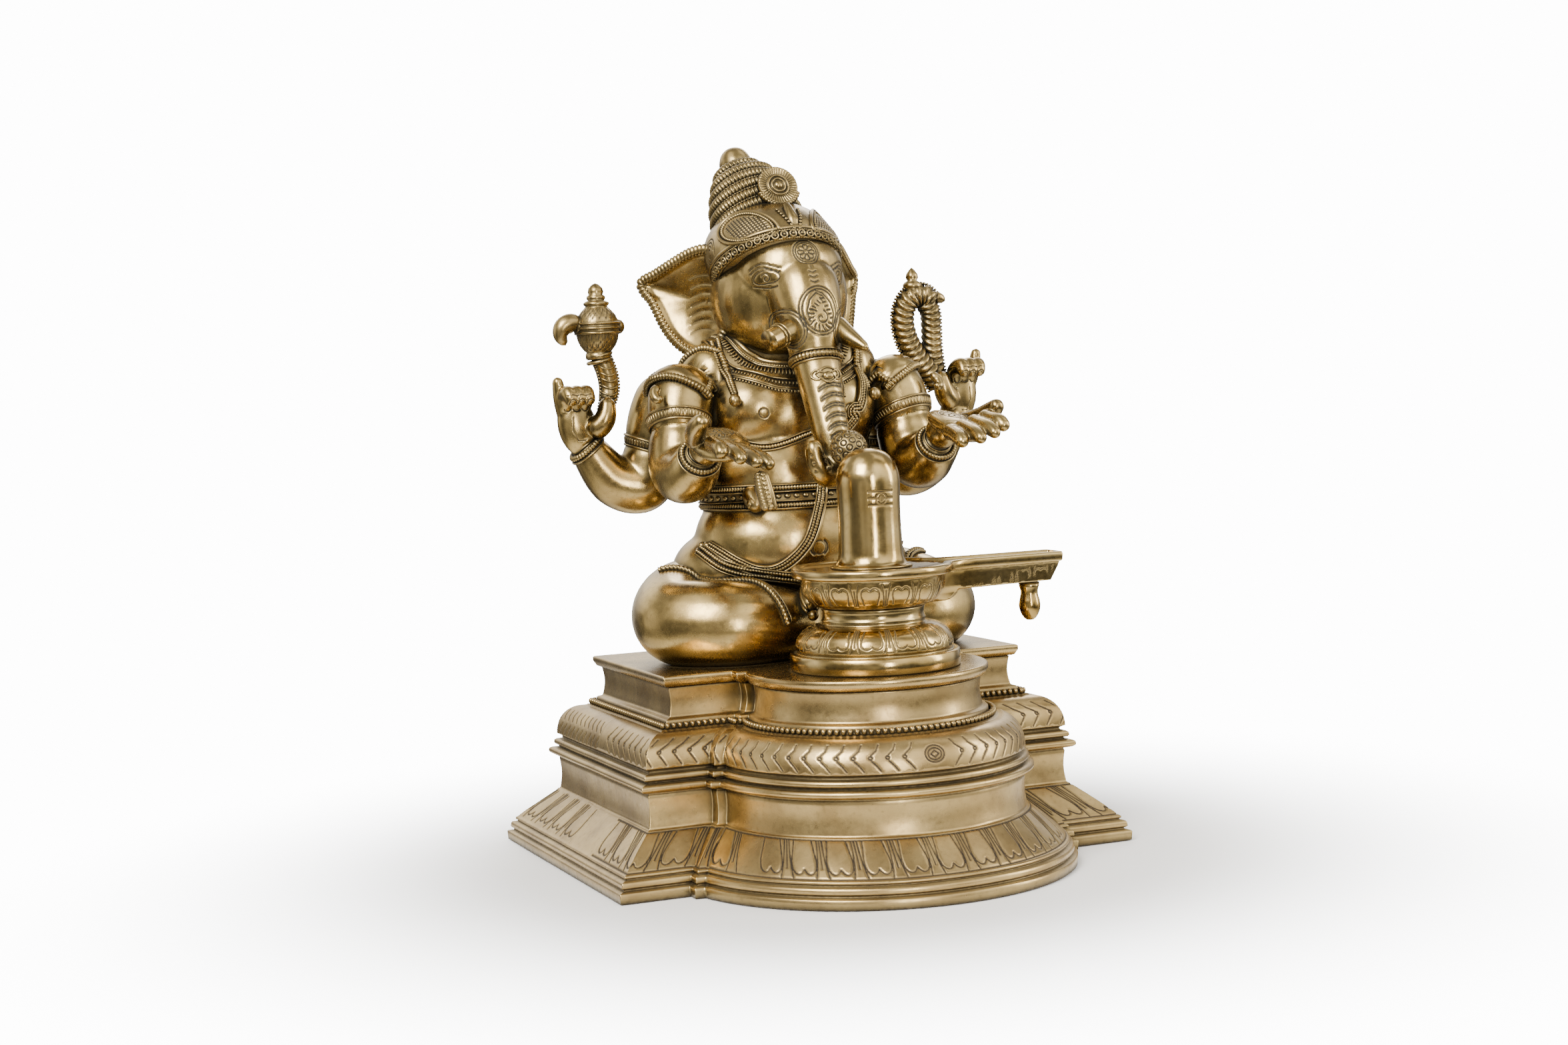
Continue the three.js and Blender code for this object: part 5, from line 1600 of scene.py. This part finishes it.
thread_route = [(44, 50, 318), (31, 39, 290), (22, 33, 275), (12, 25, 258), (0, 13, 232), (-14, 9, 206),
                (-34, 17, 191), (-54, 31, 196), (-68, 49, 208)]
thread = []
route = lay(body_skin, thread_route, 1.2)
for shift, wide, ribbed in ((0, 1.5, True), (2.6, 1.1, False), (-2.4, 1.3, True), (-4.2, 0.7, False)):
    rows = beside(route, shift, 0.2)
    thread.append(cord(rows, wide, 1.9, pitch=2.0, deep=0.3) if ribbed else cord(rows, wide, 1.5))
piece("sacred_thread_strands", merge(thread), chased, "statue", "chased_brass", "sacred_thread")
chest_loop = lay(torso_skin, [(24, 40, 320), (21, 34, 303), (12, 30, 288), (-8, 27, 279), (-30, 28, 275),
                              (-54, 46, 279)],
                 0.6)
loops_made = [cord(chest_loop, 1.5, 1.8, pitch=2.0, deep=0.32), cord(beside(chest_loop, -2.3), 0.7, 1.1),
              cord(beside(chest_loop, 2.3), 0.7, 1.1)]
piece("chest_bead_loop", merge(loops_made), chased, "statue", "chased_brass")

hip_route = [(-71, 54, 204), (-62, 36, 195), (-42, 20, 189), (-20, 9, 183), (0, 6, 176), (20, 14, 178),
             (44, 24, 188),
             (68, 48, 203)]
hip = []
route = lay(torso_skin, hip_route, 1.5)
for shift, wide, ribbed in ((-1.8, 1.6, True), (1.8, 1.6, True), (4.0, 0.7, False), (-4.0, 0.7, False)):
    rows = beside(route, shift, 0.3)
    hip.append(cord(rows, wide, 2.1, pitch=2.0, deep=0.32) if ribbed else cord(rows, wide, 1.6))
bud = [limb([(-16, 8, 180), (-18, -3, 172), (-19.5, -10, 166)], [5.0, 6.2, 5.4], sides=24)]
for k in range(9):
    turn = 2 * math.pi * k / 9
    bud.append(limb([(-16 + 4.2 * math.cos(turn), 5, 179 + 4.2 * math.sin(turn)),
                     (-18 + 5.8 * math.cos(turn), -4, 172 + 5.8 * math.sin(turn)),
                     (-19.3 + 3.8 * math.cos(turn), -11, 166 + 3.8 * math.sin(turn))], [1.2, 1.5, 1.1],
                    sides=8))
bud.append(round_bead(np.array((-20.2, -14.5, 163)), (3.6, 3.6, 3.6), np.eye(3), 16, 10))
knot_at = np.array((-70, 51, 205))
for k in range(6):
    turn = 2 * math.pi * k / 6
    bud.append(round_bead(knot_at + np.array((2.5 * math.cos(turn), -3.5 * math.cos(turn),
                                              4.6 * math.sin(turn))),
                          (3.0, 3.0, 3.0), np.eye(3), 12, 8))
piece("hip_cord_strands", merge(hip + bud), chased, "statue", "chased_brass", "hip_cord")

hems = []
for sign in (-1, 1):
    hem = to_side(sign, [(97, 66, 190), (90, 60, 196), (78, 49, 199), (65, 34, 194), (54, 16, 185),
                         (44, 0, 170),
                         (38, -8, 158)])
    rows = lay(legs_skin, hem, 0.9)
    hems += [cord(rows, 2.2, 2.5, pitch=2.8, deep=0.34, slant=1.0), cord(beside(rows, 3.2), 0.9, 1.4)]
piece("dhoti_hems", merge(hems), chased, "statue", "chased_brass")


# ---- Goad, noose and hand tassel ----
# The things the hands hold are small castings brazed into the fingers: a goad with a netted bulb and a beak,
# a noose of twisted rope, and the beaded end of a garland in the open right hand.
bulb_at = (-125, 92, 0)
bulb = [(0.02, 336.8), (7.6, 337), (8.8, 338.2), (8.8, 341), (8.0, 342), (9.8, 343.6), (12.2, 346.8),
        (13.8, 350.6),
        (14.6, 355), (14.8, 359), (14.3, 363.4), (12.8, 367), (10.4, 370), (8.2, 372.2), (7.4, 373.2),
        (8.6, 374.2),
        (8.8, 375.4), (7.2, 376.6), (5.6, 377.2), (6.4, 378.4), (6.2, 380), (4.8, 381), (5.4, 383),
        (4.8, 385.4),
        (2.6, 387.8), (0.02, 389)]
bulb_mesh = to_mesh("goad_bulb", spun(bulb, bulb_at, (0, 0, 1), sides=64))
net = []
heights_at, radii_at = [p[1] for p in bulb], [p[0] for p in bulb]
for k in range(18):
    for twist in (-1, 1):
        line = []
        for z in np.linspace(343.5, 371, 16):
            if 354.6 < z < 362.4:
                continue
            turn = 2 * math.pi * k / 18 + twist * (z - 343) / 16
            r = float(np.interp(z, heights_at, radii_at))
            line.append((bulb_at[0] + r * math.cos(turn), bulb_at[1] + r * math.sin(turn), z))
        low_part = [p for p in line if p[2] < 356]
        net += [low_part, [p for p in line if p[2] > 356]]
engrave(bulb_mesh, net, width=0.8, depth=0.4, rounds=1)
piece("goad_bulb_and_finial", bulb_mesh, chased, "statue", "chased_brass", "goad")
goad = []
for z in (355.2, 358.4, 361.6):
    band_ring = [(bulb_at[0] + 14.7 * math.cos(t), bulb_at[1] + 14.7 * math.sin(t), z, math.cos(t),
                  math.sin(t), 0)
                 for t in np.linspace(0, 2 * math.pi, 60)]
    goad.append(cord(np.array(band_ring), 1.0, 1.2, taper=False))
shank = smooth_line([(-125, 92, 342, 7.2), (-120, 92, 328, 7.0), (-119, 92, 316, 6.6), (-124, 88, 303, 5.6)],
                    0.8)
goad.append(limb([tuple(p[:3]) for p in shank[::6]], [float(p[3]) for p in shank[::6]], sides=24))
for k in range(7):
    spot = shank[int(len(shank) * (0.16 + 0.11 * k))]
    crescent = [(spot[0] - 6.4 * math.cos(a), spot[1] - 6.6 * math.sin(a),
                 spot[2] + 2.2 - 3.4 * math.sin(a) ** 2,
                 -math.cos(a), -math.sin(a), 0.2) for a in np.linspace(0.25, math.pi - 0.25, 16)]
    goad.append(cord(np.array(crescent), 0.8, 1.1))
for edge_sign in (-1, 1):
    side_line = [(p[0] + edge_sign * (p[3] - 0.2), p[1] - 2.4, p[2], edge_sign * 0.8, -0.6, 0) for p in shank]
    goad.append(bead_row(np.array(side_line), 2.2, (1.0, 1.1, 1.1)))
goad.append(limb([(-136, 92, 360), (-143, 92, 362.5), (-149, 92, 360), (-151, 92, 354), (-148, 91, 347.5)],
                 [5.0, 6.6, 6.4, 5.0, 2.0], sides=22))
goad.append(spun([(0.02, -3), (6.0, -3), (6.4, -1.6), (5.6, -0.4), (6.2, 0.8), (5.4, 2.2), (0.02, 2.4)],
                 (-138, 92, 360.5),
                 (-1, 0, 0.15), 30))
goad.append(spun([(0.02, -4), (5.6, -4), (6.0, -2.6), (4.6, -1.6), (5.2, 0.2), (4.4, 2.6), (2.4, 4.2),
                  (0.02, 4.8)],
                 (-110.5, 92, 359), (1, 0, 0), 30))
for z in (340.2, 336.2):
    goad.append(spun([(0.02, -1.2), (8.6, -1.2), (9.4, 0), (8.6, 1.2), (0.02, 1.2)], (-124.4, 92, z),
                     (-0.2, 0, 1), 36))
piece("goad_shank_and_beak", merge(goad), chased, "statue", "chased_brass")

noose = []
outer_rope = [(127, 88, 308), (121, 90, 318), (111, 92, 331), (104, 92, 345), (102.5, 92, 358),
              (106, 92, 368),
              (113, 92, 373), (120, 92, 372.5), (125, 92, 368)]
inner_rope = [(128, 88, 308), (126, 92, 322), (124.5, 92, 336), (124.5, 92, 350), (124, 92, 361),
              (120, 92, 369)]
for route_points, radius in ((outer_rope, 8.4), (inner_rope, 7.4)):
    line = smooth_line(route_points, 1.0)
    rows = np.hstack([line, np.tile((0.0, -1.0, 0.0), (len(line), 1))])
    noose.append(cord(rows, radius, radius, pitch=4.6, deep=0.26, slant=1.6, sides=28))
    rim_line = beside(rows, radius if route_points is outer_rope else -radius, 0.0)
    noose.append(bead_row(rim_line, 2.4, (0.9, 1.5, 2.6)))
noose.append(spun([(0.02, 373), (7.2, 373.5), (7.6, 375.5), (5.4, 377), (6.6, 379), (6.8, 381), (5.6, 382.6),
                   (3.4, 383.8),
                   (4.6, 386), (4.0, 388.6), (1.8, 391.6), (0.02, 393.2)], (111, 92, 0), (0, 0, 1), 40))
noose.append(limb([(126, 92, 371), (131, 92, 371), (136, 91, 368.5)], [4.6, 4.2, 2.2], sides=18))
piece("noose_rope", merge(noose), chased, "statue", "chased_brass", "noose")

tassel = [limb([(-76, -72, 263), (-74, -73, 250), (-71, -73, 237)], [4.4, 5.2, 4.4], sides=20)]
for k in range(3):
    turn = -2.4 + k * 0.85
    lane = [(-76 + 3.4 * math.cos(turn), -72 + 3.4 * math.sin(turn), 262),
            (-74 + 4.4 * math.cos(turn), -73 + 4.4 * math.sin(turn), 250),
            (-71 + 3.8 * math.cos(turn), -73 + 3.8 * math.sin(turn), 238)]
    rows = np.hstack([smooth_line(lane, 1.0), np.tile((math.cos(turn), math.sin(turn), 0.0),
                                                      (len(smooth_line(lane, 1.0)), 1))])
    tassel.append(cord(rows, 2.0, 1.9, pitch=(2.2, 3.0, 0)[k], deep=0.3))
piece("hand_tassel_flutes", merge(tassel), chased, "statue", "chased_brass", "hand_tassel")
